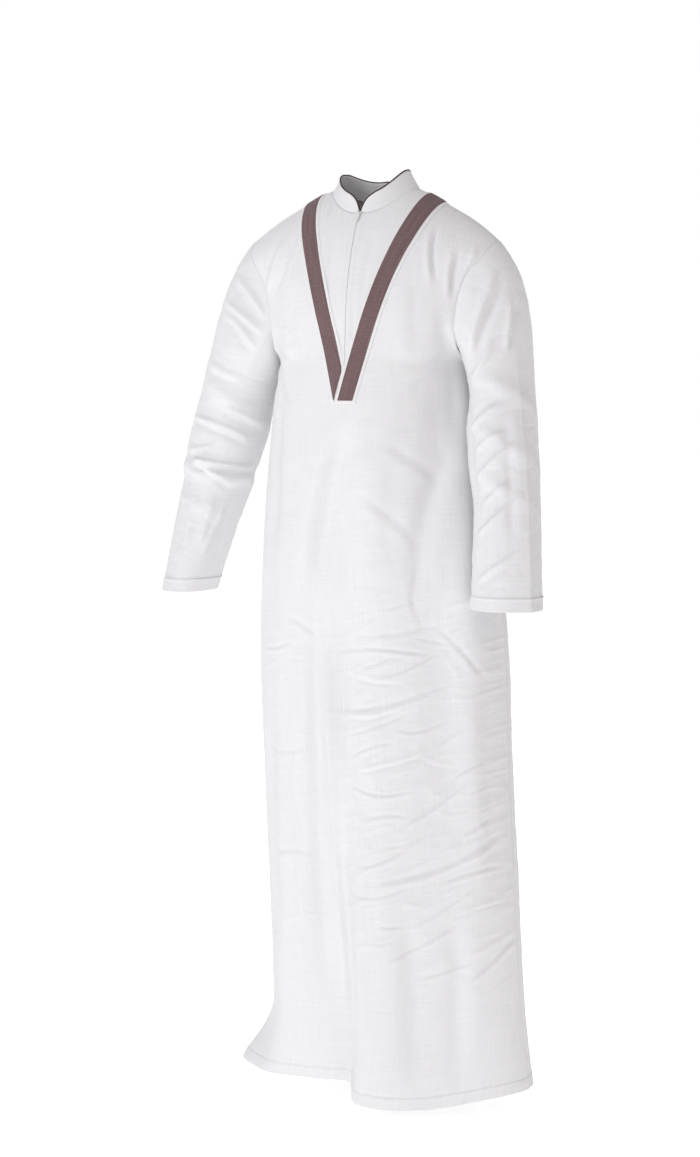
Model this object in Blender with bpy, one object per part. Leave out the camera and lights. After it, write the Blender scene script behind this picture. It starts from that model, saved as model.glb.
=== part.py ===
"""A thobe: an ankle-length robe with long sleeves, a stand-up collar and a V on the chest, held in worn form.

The frame is in metres: +Z up, the robe's front faces -Y, and the wearer's left is +X. The origin is at the
base of the neck, where the wearer's shoulders carry the robe. Every piece of cloth is a wall of even thickness
on one shared form, made of two surfaces, the front and the back. A place on a surface is (u, q):
  u runs across, from -1 at the wearer's right side seam to +1 at the left one;
  q runs up: 0 at the hem, 1 where the chest starts to round over, 2 on top of the shoulder.
"""

from math import cos, pi, radians, sin

import bpy
import numpy as np

for leftover in list(bpy.data.objects):
    bpy.data.objects.remove(leftover, do_unlink=True)

# ---------------------------------------------------------------- driving sizes, metres

WALL = 0.0016          # cloth with its turned seams
SEAM = 0.0003          # left open between two pieces at a seam
LAP = 0.0013           # between a panel's face and the strip sewn on it
STRIP = 0.0010         # thickness of the strips and tapes
HEM_Z = -1.480
ARMPIT_Z = -0.285
CAP_Z = -0.220         # the chest and the back start to round over towards the shoulder
SHOULDER_TIP_Z = -0.080
CAP_POWER = 1.8        # 2 rounds over as an ellipse, and less is flatter

BAND_WIDTH = 0.025     # coloured band along the V
EDGING = 0.005         # white strip that shows on each side of the band
V_TIP_Z = -0.335
NECK_X = 0.073         # half the width of the neckline
NECK_FRONT = 0.077     # how far the neckline reaches forward of the shoulder line, and behind it
NECK_BACK = 0.049
COLLAR_LEAN = 0.006    # how far the top of the collar leans in, at the front and back
COLLAR_SIDE_LEAN = 0.012   # and how much more at the sides
COLLAR_GAP_DEG = 1.6   # each collar end stops this far from the middle, for the zip
PIPING_RADIUS = 0.0011
ZIP_BOTTOM_Z = -0.275
ZIP_OPENING = 0.0016   # between the two edges that the zip joins
TAPE_WIDTH = 0.022

FRONT, BACK = -1, 1
RIGHT, LEFT = -1, 1    # the wearer's

# Sections of the robe, from the hem up. right and left: half widths. front and back: y at the middle of each
# surface. seam_front and seam_back: y at their edges, which part above the armpit. wrap: how far round a
# surface reaches to its edge, in degrees.
SECTIONS = {
    "z":          [-1.480, -1.420, -1.350, -1.150, -0.950, -0.750, -0.600, -0.450, -0.360, -0.285, -0.250, -0.220],
    "right":      [0.238, 0.212, 0.201, 0.197, 0.200, 0.205, 0.200, 0.188, 0.177, 0.166, 0.162, 0.161],
    "left":       [0.256, 0.250, 0.245, 0.239, 0.232, 0.225, 0.209, 0.186, 0.172, 0.163, 0.160, 0.160],
    "seam_front": [0.055, 0.048, 0.040, 0.022, 0.012, 0.010, 0.010, 0.010, 0.008, 0.005, -0.050, -0.068],
    "seam_back":  [0.055, 0.048, 0.040, 0.022, 0.012, 0.010, 0.010, 0.010, 0.008, 0.005, 0.068, 0.088],
    "front":      [-0.065, -0.073, -0.082, -0.108, -0.126, -0.138, -0.147, -0.150, -0.146, -0.139, -0.1355, -0.1335],
    "back":       [0.200, 0.193, 0.186, 0.166, 0.150, 0.138, 0.130, 0.127, 0.128, 0.128, 0.127, 0.125],
    "wrap":       [90, 90, 90, 90, 90, 90, 90, 90, 90, 86, 62, 50],
}

# The armhole's edge by height, and the line along the top of the shoulder by distance from the middle. The
# right shoulder is carried a little higher and wider.
ARMHOLE = {
    "z": [-0.220, -0.190, -0.150, -0.115, -0.070],
    "right": [0.161, 0.166, 0.184, 0.208, 0.226],
    "left": [0.160, 0.164, 0.176, 0.197, 0.212],
}
SHOULDER = {
    "x": [0.000, 0.066, 0.095, 0.118, 0.170, 0.226],
    "right": [0.018, 0.010, 0.000, -0.012, -0.039, -0.076],
    "left": [0.018, 0.009, -0.003, -0.016, -0.047, -0.094],
    "y": [0.004, 0.004, 0.005, 0.006, 0.009, 0.012],
}

# Height of the collar by how far round from the front it is, in degrees. Its fronts are rounded.
COLLAR = {
    "deg": [1.6, 3.5, 6.5, 10.0, 15.0, 22.0, 45.0, 70.0, 90.0, 115.0, 180.0],
    "left": [0.0035, 0.010, 0.0175, 0.0230, 0.0270, 0.0295, 0.0310, 0.0305, 0.0300, 0.0300, 0.0310],
    "right": [0.0035, 0.010, 0.0175, 0.0225, 0.0260, 0.0275, 0.0250, 0.0225, 0.0230, 0.0270, 0.0310],
}
COLLAR_DEGREES = [3.2, 5.2, 8.0, 12.0, 18.0, 28.0, 42.0, 58.0, 75.0, 93.0, 112.0, 134.0, 157.0]

# The middle of the V band, as distance from the centre line at each height.
V_LINE = {
    "z": [-0.335, -0.250, -0.195, -0.147, -0.100, -0.055, -0.006],
    "x": [0.0035, 0.0255, 0.0415, 0.0565, 0.0725, 0.0895, 0.1060],
}

# The largest folds: angle is 0 at the front and 90 at the wearer's left side. A fold runs from its top to its
# low end, where before and after are its widths towards smaller and larger angles, in degrees. out is how far
# it stands out at each end, and less than 0 is a trough. fade is the length over which an end dies away.
FOLDS = [
    # name              top_z  low_z  top_deg low_deg before after  top_out low_out fade
    ("knee ridge",      -0.70, -1.48, -9.0,   0.5,    7.0,  24.0,   0.006,  0.046,  0.20),
    ("knee trough",     -0.40, -1.48, 2.0,   -14.0,  15.0,  9.0,   -0.007, -0.036,  0.14),
    ("shin trough",     -0.80, -1.48, -27.0, -34.0,   9.0,  10.0,  -0.004, -0.009,  0.20),
    ("shin ridge",      -0.85, -1.48, -44.0, -52.0,  10.0,  11.0,   0.004,  0.008,  0.25),
    ("arm trough",      -0.24, -0.82, 62.0,   31.0,  15.0,  13.0,  -0.014, -0.006,  0.12),
    ("hip ridge",       -0.42, -1.10, 58.0,   60.0,  12.0,  14.0,   0.007,  0.003,  0.15),
    ("right arm trough", -0.26, -0.75, -58.0, -48.0, 14.0,  13.0,  -0.010, -0.004,  0.12),
    ("corner flare",    -1.36, -1.48, -98.0, -98.0,  24.0,  30.0,   0.000,  0.036,  0.02),
    ("back middle",     -0.34, -1.30, 178.0, 172.0,  13.0,  13.0,  -0.012, -0.006,  0.20),
    ("back left",       -0.55, -1.48, 142.0, 136.0,  10.0,  12.0,   0.006,  0.016,  0.25),
    ("back left low",   -0.75, -1.48, 158.0, 155.0,   9.0,  10.0,  -0.005, -0.015,  0.25),
    ("back right",      -0.50, -1.48, 212.0, 217.0,  11.0,  12.0,   0.006,  0.015,  0.25),
    ("back right low",  -0.80, -1.48, 196.0, 194.0,   9.0,  10.0,   0.003,  0.013,  0.20),
    ("back side",       -0.60, -1.48, 236.0, 240.0,  10.0,  10.0,  -0.006, -0.012,  0.25),
]

# Sleeves, from the first full ring down to the cuff: x and y of the middle, half widths towards the body
# (inner) and away from it (outer), half depth, and how sharply the pressed crease stands out.
SLEEVES = {
    LEFT: {
        "z":      [-0.325, -0.400, -0.480, -0.560, -0.664],
        "x":      [0.220, 0.233, 0.246, 0.255, 0.264],
        "y":      [-0.010, -0.028, -0.046, -0.068, -0.092],
        "inner":  [0.048, 0.054, 0.055, 0.058, 0.062],
        "outer":  [0.054, 0.053, 0.050, 0.051, 0.053],
        "depth":  [0.070, 0.067, 0.061, 0.057, 0.054],
        "crease": [0.003, 0.005, 0.006, 0.007, 0.008],
    },
    RIGHT: {
        "z":      [-0.325, -0.400, -0.480, -0.560, -0.656],
        "x":      [-0.250, -0.268, -0.286, -0.303, -0.321],
        "y":      [0.006, 0.006, -0.004, -0.020, -0.040],
        "inner":  [0.062, 0.060, 0.054, 0.046, 0.038],
        "outer":  [0.062, 0.065, 0.053, 0.046, 0.036],
        "depth":  [0.072, 0.072, 0.068, 0.065, 0.064],
        "crease": [0.003, 0.005, 0.006, 0.007, 0.008],
    },
}
CREASE_ANGLE = 35.0    # round the sleeve from its outer side towards its front, in degrees
CREASE_WIDTH = 16.0

# Sleeve folds: at is the place down the sleeve, 0 at the armhole and 1 at the cuff, angle is round the sleeve
# as above, and slant is how far down the fold runs for each turn of 90 degrees.
SLEEVE_FOLDS = {
    LEFT: [
        # at    angle reach width out     slant
        (0.34,  60.0, 70.0, 0.030, -0.004, -0.10),
        (0.50,  75.0, 60.0, 0.028, -0.004, -0.09),
        (0.64,  80.0, 60.0, 0.030, -0.004, -0.08),
        (0.52, 250.0, 70.0, 0.035, -0.004, 0.08),
    ],
    RIGHT: [
        (0.40, 120.0, 65.0, 0.026, -0.005, 0.10),
        (0.62, 110.0, 75.0, 0.022, -0.009, 0.03),
        (0.72,  90.0, 55.0, 0.024, -0.004, 0.05),
        (0.60, 250.0, 60.0, 0.030, 0.004, -0.05),
    ],
}

# ---------------------------------------------------------------- curves through a table


def through(xs, ys, at):
    """A smooth curve through the points of a table that never swings past them."""
    xs, ys, at = np.asarray(xs, float), np.asarray(ys, float), np.asarray(at, float)
    if xs[0] > xs[-1]:
        xs, ys = xs[::-1], ys[::-1]
    step = np.diff(xs)
    slope = np.diff(ys) / step
    left, right = slope[:-1], slope[1:]
    same_way = left * right > 0
    inner = np.where(same_way, 2 * left * right / np.where(same_way, left + right, 1.0), 0.0)
    tangent = np.concatenate([slope[:1], inner, slope[-1:]])
    at = np.clip(at, xs[0], xs[-1])
    i = np.clip(np.searchsorted(xs, at, side="right") - 1, 0, len(step) - 1)
    t = (at - xs[i]) / step[i]
    h = step[i]
    return (
        ys[i] * (1 + 2 * t) * (1 - t) ** 2
        + ys[i + 1] * t * t * (3 - 2 * t)
        + h * tangent[i] * t * (1 - t) ** 2
        + h * tangent[i + 1] * t * t * (t - 1)
    )


def smooth_step(t):
    t = np.clip(t, 0.0, 1.0)
    return t * t * (3 - 2 * t)


# ---------------------------------------------------------------- the form: front and back surfaces


def section(column, z):
    return through(SECTIONS["z"], SECTIONS[column], z)


def fold_offset(angle, z):
    """How far the largest folds move the cloth out at an angle round the body, in degrees, and a height."""
    total = np.zeros(np.broadcast(angle, z).shape)
    for _, top_z, low_z, top_deg, low_deg, before, after, top_out, low_out, fade in FOLDS:
        along = np.clip((top_z - z) / (top_z - low_z), 0, 1)
        centre = top_deg + (low_deg - top_deg) * along
        off = (angle - centre + 180) % 360 - 180
        width = np.where(off < 0, before, after)
        out = top_out + (low_out - top_out) * smooth_step(along)
        ends = smooth_step((top_z - z) / fade)
        if low_z > HEM_Z:
            ends = ends * smooth_step((z - low_z) / fade)
        total = total + out * ends * np.exp(-((off / width) ** 2))
    return total


def body_level(side, u, z):
    """A point of the front or back surface below the rounding of the shoulder."""
    name = "front" if side == FRONT else "back"
    wrap = np.radians(section("wrap", z))
    turn = u * wrap
    right, left = section("right", z), section("left", z)
    x = (left - right) / 2 + (left + right) / 2 * np.sin(turn) / np.sin(wrap)
    edge, middle = section("seam_" + name, z), section(name, z)
    y = edge + (middle - edge) * (np.cos(turn) - np.cos(wrap)) / (1 - np.cos(wrap))
    angle = u * 90.0 if side == FRONT else 180.0 - u * 90.0
    out = fold_offset(angle, z)
    return x + out * np.sin(np.radians(angle)), y - out * np.cos(np.radians(angle))


def shoulder_z(x):
    """Height of the line along the top of the shoulders, x from the middle."""
    share = smooth_step(0.5 + x / 0.04)
    right, left = (through(SHOULDER["x"], SHOULDER[arm], np.abs(x)) for arm in ("right", "left"))
    return right * (1 - share) + left * share


def armhole_x(u, rise):
    """Half width to the armhole, on the side that u is on, where rise goes from 0 to 1 up to the shoulder."""
    edge_z = CAP_Z + (SHOULDER_TIP_Z - CAP_Z) * rise
    share = smooth_step(0.5 + u / 0.3)
    right, left = (through(ARMHOLE["z"], ARMHOLE[arm], edge_z) for arm in ("right", "left"))
    return right * (1 - share) + left * share


def surface(side, u, q):
    """The points of the front or back surface at (u, q)."""
    u, q = np.broadcast_arrays(np.asarray(u, float), np.asarray(q, float))
    low_z = HEM_Z + (CAP_Z - HEM_Z) * np.minimum(q, 1.0)
    x, y = body_level(side, u, low_z)
    z = low_z
    turn = np.clip(q - 1.0, 0.0, 1.0) * pi / 2
    rise = np.sin(turn) ** (2 / CAP_POWER)
    wrap = radians(SECTIONS["wrap"][-1])
    cap_x = armhole_x(u, rise) * np.sin(u * wrap) / sin(wrap)
    top_z = shoulder_z(cap_x)
    top_y = through(SHOULDER["x"], SHOULDER["y"], np.abs(cap_x))
    cap_z = CAP_Z + (top_z - CAP_Z) * rise
    cap_y = top_y + (y - top_y) * np.cos(turn) ** (2 / CAP_POWER)
    over = q > 1.0
    return np.stack([np.where(over, cap_x, x), np.where(over, cap_y, y), np.where(over, cap_z, z)], axis=-1)


def q_of(x, z):
    """q of the place on a surface that is x from the middle and at height z, above the armpit."""
    rise = np.clip((z - CAP_Z) / (shoulder_z(x) - CAP_Z), 0.0, 1.0)
    return np.where(z > CAP_Z, 1 + np.arcsin(rise ** (CAP_POWER / 2)) / (pi / 2), (z - HEM_Z) / (CAP_Z - HEM_Z))


def u_of(x, q):
    """u of the place on a surface at distance x from the middle and height q."""
    rise = np.sin(np.clip(q - 1.0, 0.0, 1.0) * pi / 2) ** (2 / CAP_POWER)
    low_z = HEM_Z + (CAP_Z - HEM_Z) * np.minimum(q, 1.0)
    over = q > 1.0
    right, left = section("right", low_z), section("left", low_z)
    middle = np.where(over, 0.0, (left - right) / 2)
    half = np.where(over, armhole_x(np.sign(x) * np.minimum(np.abs(x) / 0.2, 1), rise), (left + right) / 2)
    wrap = np.radians(np.where(over, SECTIONS["wrap"][-1], section("wrap", low_z)))
    return np.arcsin(np.clip((x - middle) / half * np.sin(wrap), -1, 1)) / wrap


TOP_Q = 1.995          # a normal is read no higher, where the two surfaces meet in a ridge


def outward(side, u, q):
    """Unit normals of a surface, away from the wearer."""
    small_u, small_q = 0.004, 0.004
    across = surface(side, np.clip(u + small_u, -1, 1), q) - surface(side, np.clip(u - small_u, -1, 1), q)
    high, low = np.clip(q + small_q, 0, TOP_Q), np.clip(q - small_q, 0, TOP_Q - small_q)
    up = surface(side, u, high) - surface(side, u, low)
    normal = np.cross(across, up) * (1 if side == FRONT else -1)
    return normal / np.linalg.norm(normal, axis=-1, keepdims=True)


# ---------------------------------------------------------------- from grids of points to named solids


def material(name, colour, roughness, metallic=0.0):
    made = bpy.data.materials.new(name)
    made.use_nodes = True
    shader = made.node_tree.nodes["Principled BSDF"]
    shader.inputs["Base Color"].default_value = (*colour, 1.0)
    shader.inputs["Roughness"].default_value = roughness
    shader.inputs["Metallic"].default_value = metallic
    return made


WHITE_CLOTH = material("white_cloth", (0.86, 0.86, 0.87), 0.85)
BROWN_CLOTH = material("brown_cloth", (0.27, 0.165, 0.175), 0.8)
ZIP_WHITE = material("zip_white", (0.82, 0.82, 0.83), 0.45)


def add_object(name, points, faces, finish, smooth=True):
    mesh = bpy.data.meshes.new(name)
    mesh.from_pydata([tuple(map(float, p)) for p in points], [], faces)
    mesh.materials.append(finish)
    if smooth:
        mesh.shade_smooth()
        mesh.set_sharp_from_angle(angle=radians(50))
    made = bpy.data.objects.new(name, mesh)
    bpy.context.scene.collection.objects.link(made)
    return made


def wall(name, points, normals, finish, low, high, closed=False):
    """A closed solid between low and high along the normals of a grid of points, as (row, column).

    Columns run so that, seen from outside, rows go up and columns go to the right. A closed grid joins its
    last column to its first, as a sleeve does.
    """
    rows, columns = points.shape[:2]
    outer = (points + normals * high).reshape(-1, 3)
    inner = (points + normals * low).reshape(-1, 3)
    count = rows * columns

    def at(row, column):
        return row * columns + column % columns

    faces = []
    spans = columns if closed else columns - 1
    for r in range(rows - 1):
        for c in range(spans):
            a, b, d, e = at(r, c), at(r, c + 1), at(r + 1, c + 1), at(r + 1, c)
            for triangle in ((a, b, d), (a, d, e)):
                faces.append(triangle)
                faces.append(tuple(count + i for i in reversed(triangle)))
    for c in range(spans):
        a, b = at(0, c), at(0, c + 1)
        faces.append((b, a, count + a, count + b))
        a, b = at(rows - 1, c), at(rows - 1, c + 1)
        faces.append((a, b, count + b, count + a))
    if not closed:
        for r in range(rows - 1):
            a, b = at(r, 0), at(r + 1, 0)
            faces.append((a, b, count + b, count + a))
            a, b = at(r, columns - 1), at(r + 1, columns - 1)
            faces.append((b, a, count + a, count + b))
    return add_object(name, np.concatenate([outer, inner]), faces, finish)


# ---------------------------------------------------------------- front and back panels

ARMPIT_Q = (ARMPIT_Z - HEM_Z) / (CAP_Z - HEM_Z)
SKIRT_ROWS, PIT_ROWS, CAP_ROWS = 13, 2, 8
ARMHOLE_ROWS = PIT_ROWS + CAP_ROWS
SIDE_Q = np.concatenate([
    np.linspace(0.0, ARMPIT_Q, SKIRT_ROWS + 1)[:-1],
    np.linspace(ARMPIT_Q, 1.0, PIT_ROWS + 1)[:-1],
    np.linspace(1.0, 2.0, CAP_ROWS + 1),
])
SEAM_U = 1 - 0.0007    # leaves the seam open at the side


def v_x(z):
    return through(V_LINE["z"], V_LINE["x"], z)


def v_height(q):
    """Height of the V line where it crosses q."""
    low, high = V_TIP_Z, 0.0
    for _ in range(40):
        middle = (low + high) / 2
        if q_of(v_x(middle), middle) < q:
            low = middle
        else:
            high = middle
    return low


# The V line's own places, which the panel's columns, the inset's rows and the strips' rows all share.
V_Q = np.concatenate([np.linspace(q_of(0.0, V_TIP_Z), 1.0, 4)[:-1], np.linspace(1.0, 2.0, CAP_ROWS + 1)])
V_Z = np.array([v_height(q) for q in V_Q])
V_U = u_of(v_x(V_Z), V_Q)


def shortened(points, by):
    """The rows of a grid, with the last row pulled back along its columns."""
    step = points[-2] - points[-1]
    moved = points.copy()
    moved[-1] += step / np.linalg.norm(step, axis=-1, keepdims=True) * by
    return moved


def front_panel():
    outer = np.linspace(V_U[-1], SEAM_U, 7)[1:]
    half = np.concatenate([V_U, outer])
    tops = np.concatenate([V_Q, np.full(len(outer), 2.0)])
    columns, tops = np.concatenate([-half[::-1], half]), np.concatenate([tops[::-1], tops])
    q = SIDE_Q[:, None] / 2.0 * tops[None, :]
    u = np.broadcast_to(columns, q.shape)
    points, normals = surface(FRONT, u, q), outward(FRONT, u, q)
    return wall("front_panel", shortened(points, SEAM / 2), normals, WHITE_CLOTH, -WALL / 2, WALL / 2)


def neck_q(side, x):
    """q of the neckline, an oval seen from above, at distance x from the middle."""
    reach = NECK_FRONT if side == FRONT else NECK_BACK
    wanted = side * reach * np.sqrt(1 - np.clip(np.abs(x) / NECK_X, 0, 1) ** 2)
    top_y = through(SHOULDER["x"], SHOULDER["y"], np.abs(x))
    q = 1.5 + 0 * x
    for _ in range(8):
        level_y = surface(side, u_of(x, q), 1.0)[..., 1]
        share = np.clip(wanted / (level_y - top_y), 0, 1)
        q = 1 + np.arccos(share ** (CAP_POWER / 2)) / (pi / 2)
    return q


def back_top(u):
    """q where a column of the back panel ends, at the neckline or on the shoulder."""
    if abs(surface(BACK, u, 2.0)[0]) >= NECK_X:
        return 2.0
    low, high = 1.0, 2.0
    for _ in range(40):
        middle = (low + high) / 2
        x = surface(BACK, u, middle)[0]
        if middle < neck_q(BACK, x):
            low = middle
        else:
            high = middle
    return low


def back_panel():
    columns = np.linspace(-SEAM_U, SEAM_U, 20)
    tops = np.array([back_top(u) for u in columns])
    q = SIDE_Q[:, None] / 2.0 * tops[None, :]
    u = np.broadcast_to(columns, q.shape)
    points, normals = surface(BACK, u, q), outward(BACK, u, q)
    points, normals = shortened(points, SEAM / 2)[:, ::-1], normals[:, ::-1]
    return wall("back_panel", points, normals, WHITE_CLOTH, -WALL / 2, WALL / 2)


# ---------------------------------------------------------------- chest inset, its bands and the zip


TIP_LIFT = 0.002       # in q, keeps the two halves' lowest corners off each other's panel


def inset_half(side, name):
    """One half of the chest inset, from the zip to the middle of the band."""
    columns = 6
    up = np.linspace(0, 1, len(V_Q))[:, None]
    over = np.linspace(0, 1, columns)[None, :]
    middle_x = ZIP_OPENING / 2
    line_x = (v_x(V_Z) - 2 * SEAM)[:, None]
    line_q = V_Q[:, None].copy()
    line_q[0] += TIP_LIFT
    zip_top = neck_q(FRONT, middle_x * side)
    zip_q = line_q[0] + (zip_top - line_q[0]) * (V_Q - V_Q[0])[:, None] / (V_Q[-1] - V_Q[0])
    # the top edge follows the neckline and then the top of the shoulder
    top_x = middle_x + (line_x[-1] - middle_x) * over
    top_q = np.where(top_x < NECK_X, neck_q(FRONT, top_x * side), 2.0)
    straight_q = zip_top + (2.0 - zip_top) * over
    x = middle_x + (line_x - middle_x) * over
    q = zip_q + (line_q - zip_q) * over + (top_q - straight_q) * up**3
    u = u_of(x * side, q)
    points, normals = shortened(surface(FRONT, u, q), SEAM), outward(FRONT, u, q)
    if side == RIGHT:
        points, normals = points[:, ::-1], normals[:, ::-1]
    return wall(name, points, normals, WHITE_CLOTH, -WALL / 2, WALL / 2)


def strip_edges(side, left_of, right_of, z):
    """x of a strip's two edges beside the V line, with widths measured across the strip."""
    slope = (v_x(z + 0.002) - v_x(z - 0.002)) / 0.004
    spread = np.sqrt(1 + slope**2)
    return side * v_x(z) + left_of * spread, side * v_x(z) + right_of * spread


STRIP_TOP_Q = 1.98     # the strips end just short of the shoulder seam


def arm_grid(side, cut=None):
    """Points along one arm of the V: columns at the edges of the white strip and of the band on it.

    cut gives the x, at each height, of the other arm's strip where it lies over this one.
    """
    below = EDGING / (CAP_Z - HEM_Z)
    q = np.concatenate([[V_Q[0] - below], V_Q[:-1], [STRIP_TOP_Q]])
    z = np.concatenate([[V_TIP_Z - EDGING], V_Z])
    wide, narrow = BAND_WIDTH / 2 + EDGING, BAND_WIDTH / 2
    first, last = strip_edges(side, -wide, wide, z)
    band_first, band_last = strip_edges(side, -narrow, narrow, z)
    if cut is not None:
        last = np.minimum(last, cut(z))
        band_last = np.minimum(band_last, last - SEAM)
    share = np.linspace(0, 1, 3)
    band = band_first[:, None] + (band_last - band_first)[:, None] * share
    x = np.concatenate([first[:, None], band, last[:, None]], axis=1)
    q = q[:, None] + 0 * x
    u = u_of(x, q)
    return surface(FRONT, u, q), outward(FRONT, u, q)


def v_strips():
    """The white strips along the V and the coloured bands on them. The left arm lies over the right one."""
    low = WALL / 2 + LAP
    on_top = low + STRIP + SEAM

    def under_left_arm(z):
        return strip_edges(LEFT, -BAND_WIDTH / 2 - EDGING, 0, z)[0] - SEAM

    for side, word, cut in ((LEFT, "left", None), (RIGHT, "right", under_left_arm)):
        points, normals = arm_grid(side, cut)
        wall("facing_" + word, points, normals, WHITE_CLOTH, low, low + STRIP)
        wall("band_" + word, points[1:, 1:4], normals[1:, 1:4], BROWN_CLOTH, on_top, on_top + STRIP)


# ---------------------------------------------------------------- collar


def neckline(angle):
    """Points of the neckline all round: angle 0 at the front middle, 90 at the wearer's left."""
    x = NECK_X * np.sin(np.radians(angle))
    ahead = np.cos(np.radians(angle)) > 0
    front_q, back_q = neck_q(FRONT, x), neck_q(BACK, x)
    front = surface(FRONT, u_of(x, front_q), front_q)
    back = surface(BACK, u_of(x, back_q), back_q)
    return np.where(ahead[..., None], front, back)


def collar_place(angle, up):
    """Points of the collar and the directions away from the neck: up is 0 at its seam and 1 at its top edge."""
    base = neckline(angle)
    ends = neckline(np.array([0.0, 180.0]))
    away = base - np.array([0.0, ends[:, 1].mean(), 0.0])
    away[..., 2] = 0
    away /= np.linalg.norm(away, axis=-1, keepdims=True)
    from_front = np.abs((angle + 180) % 360 - 180)
    left, right = (through(COLLAR["deg"], COLLAR[arm], from_front) for arm in ("left", "right"))
    height = np.where((angle % 360) < 180, left, right)
    lift = WALL / 2 + 3 * SEAM
    lean = COLLAR_LEAN + COLLAR_SIDE_LEAN * np.sin(np.radians(angle)) ** 2
    points = base - (2 * SEAM + up * lean * height / max(COLLAR["left"]))[..., None] * away
    points[..., 2] += lift + up * (height - lift)
    return points, away


def collar():
    half = np.array([COLLAR_GAP_DEG] + COLLAR_DEGREES)
    angle = np.concatenate([half, [180.0], 360 - half[::-1]])[None, :]
    up = np.linspace(0, 1, 3)[:, None]
    points, normals = collar_place(angle + 0 * up, up + 0 * angle)
    wall("collar", points, normals, WHITE_CLOTH, -WALL / 2, WALL / 2)
    edge = points[-1]
    edge_up = np.cross(normals[-1], np.gradient(edge, axis=0))
    edge_up /= np.linalg.norm(edge_up, axis=-1, keepdims=True)
    tube("collar_piping", edge + edge_up * (PIPING_RADIUS + 2 * SEAM), PIPING_RADIUS, BROWN_CLOTH)


def tube(name, path, radius, finish, sides=6):
    """A thin round cord along a path."""
    step = np.gradient(path, axis=0)
    step /= np.linalg.norm(step, axis=-1, keepdims=True)
    least = np.argmin(np.abs(step).mean(axis=0))
    side = np.cross(step, np.eye(3)[least])
    side /= np.linalg.norm(side, axis=-1, keepdims=True)
    lift = np.cross(side, step)
    points = []
    for point, across, up in zip(path, side, lift):
        for k in range(sides):
            turn = 2 * pi * k / sides
            points.append(point + radius * (cos(turn) * across + sin(turn) * up))
    faces = []
    for r in range(len(path) - 1):
        for k in range(sides):
            a, b = r * sides + k, r * sides + (k + 1) % sides
            faces.append((a, a + sides, b + sides, b))
    last = (len(path) - 1) * sides
    faces.append(tuple(range(sides)))
    faces.append(tuple(last + k for k in reversed(range(sides))))
    return add_object(name, points, faces, finish)


# ---------------------------------------------------------------- sleeves

FIRST_RING_Z = SLEEVES[LEFT]["z"][0]
SLEEVE_TOP = 0.36      # the share of the sleeve's rows, 0 to 1, above the first full ring


def armhole(side):
    """Points round the armhole: the shoulder, down the front to the armpit, and up the back."""
    q = SIDE_Q[SKIRT_ROWS:][::-1]
    front = surface(FRONT, np.full(q.shape, side * 1.0), q)
    back = surface(BACK, np.full(q.shape, side * 1.0), q)
    return np.concatenate([front, back[::-1][1:-1]])


def turn_round(loop):
    """Angles round the sleeve for a loop's points: 0 outside, 90 front, 180 inside, shared out by length."""
    step = np.linalg.norm(np.roll(loop, -1, axis=0) - loop, axis=-1)
    half = ARMHOLE_ROWS
    down, up = step[:half], step[half:]
    first = np.concatenate([[0], np.cumsum(down)[:-1]]) / down.sum() * 180
    second = 180 + np.concatenate([[0], np.cumsum(up)[:-1]]) / up.sum() * 180
    return np.concatenate([first, second])


def ring_point(side, angle, z):
    """A point of the sleeve's tube at an angle round it and a height, below the first full ring."""
    table = SLEEVES[side]
    value = {name: through(table["z"], table[name], z) for name in table if name != "z"}
    turn = np.radians(angle)
    reach = np.where(np.cos(turn) > 0, value["outer"], value["inner"])
    off = (angle - CREASE_ANGLE + 180) % 360 - 180
    crease = value["crease"] * np.exp(-np.abs(off) / CREASE_WIDTH)
    x = value["x"] + side * np.cos(turn) * (reach + crease)
    y = value["y"] - np.sin(turn) * (value["depth"] + crease)
    return np.stack([x, y, z + 0 * x], axis=-1)


# A sleeve leaves its armhole along (x, y, z): outward, with a share that grows towards the outer side, then
# forward or back, and down. At the armpit it starts a little further out.
LEAVE_OUT, LEAVE_OUT_TURN, LEAVE_FRONT, LEAVE_DOWN = 0.48, 0.18, 0.20, 0.70
PIT_LEAVE_SHARE = 0.6
PIT_SHIFT = 0.0030
ARMHOLE_GAP = 0.0015


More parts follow.
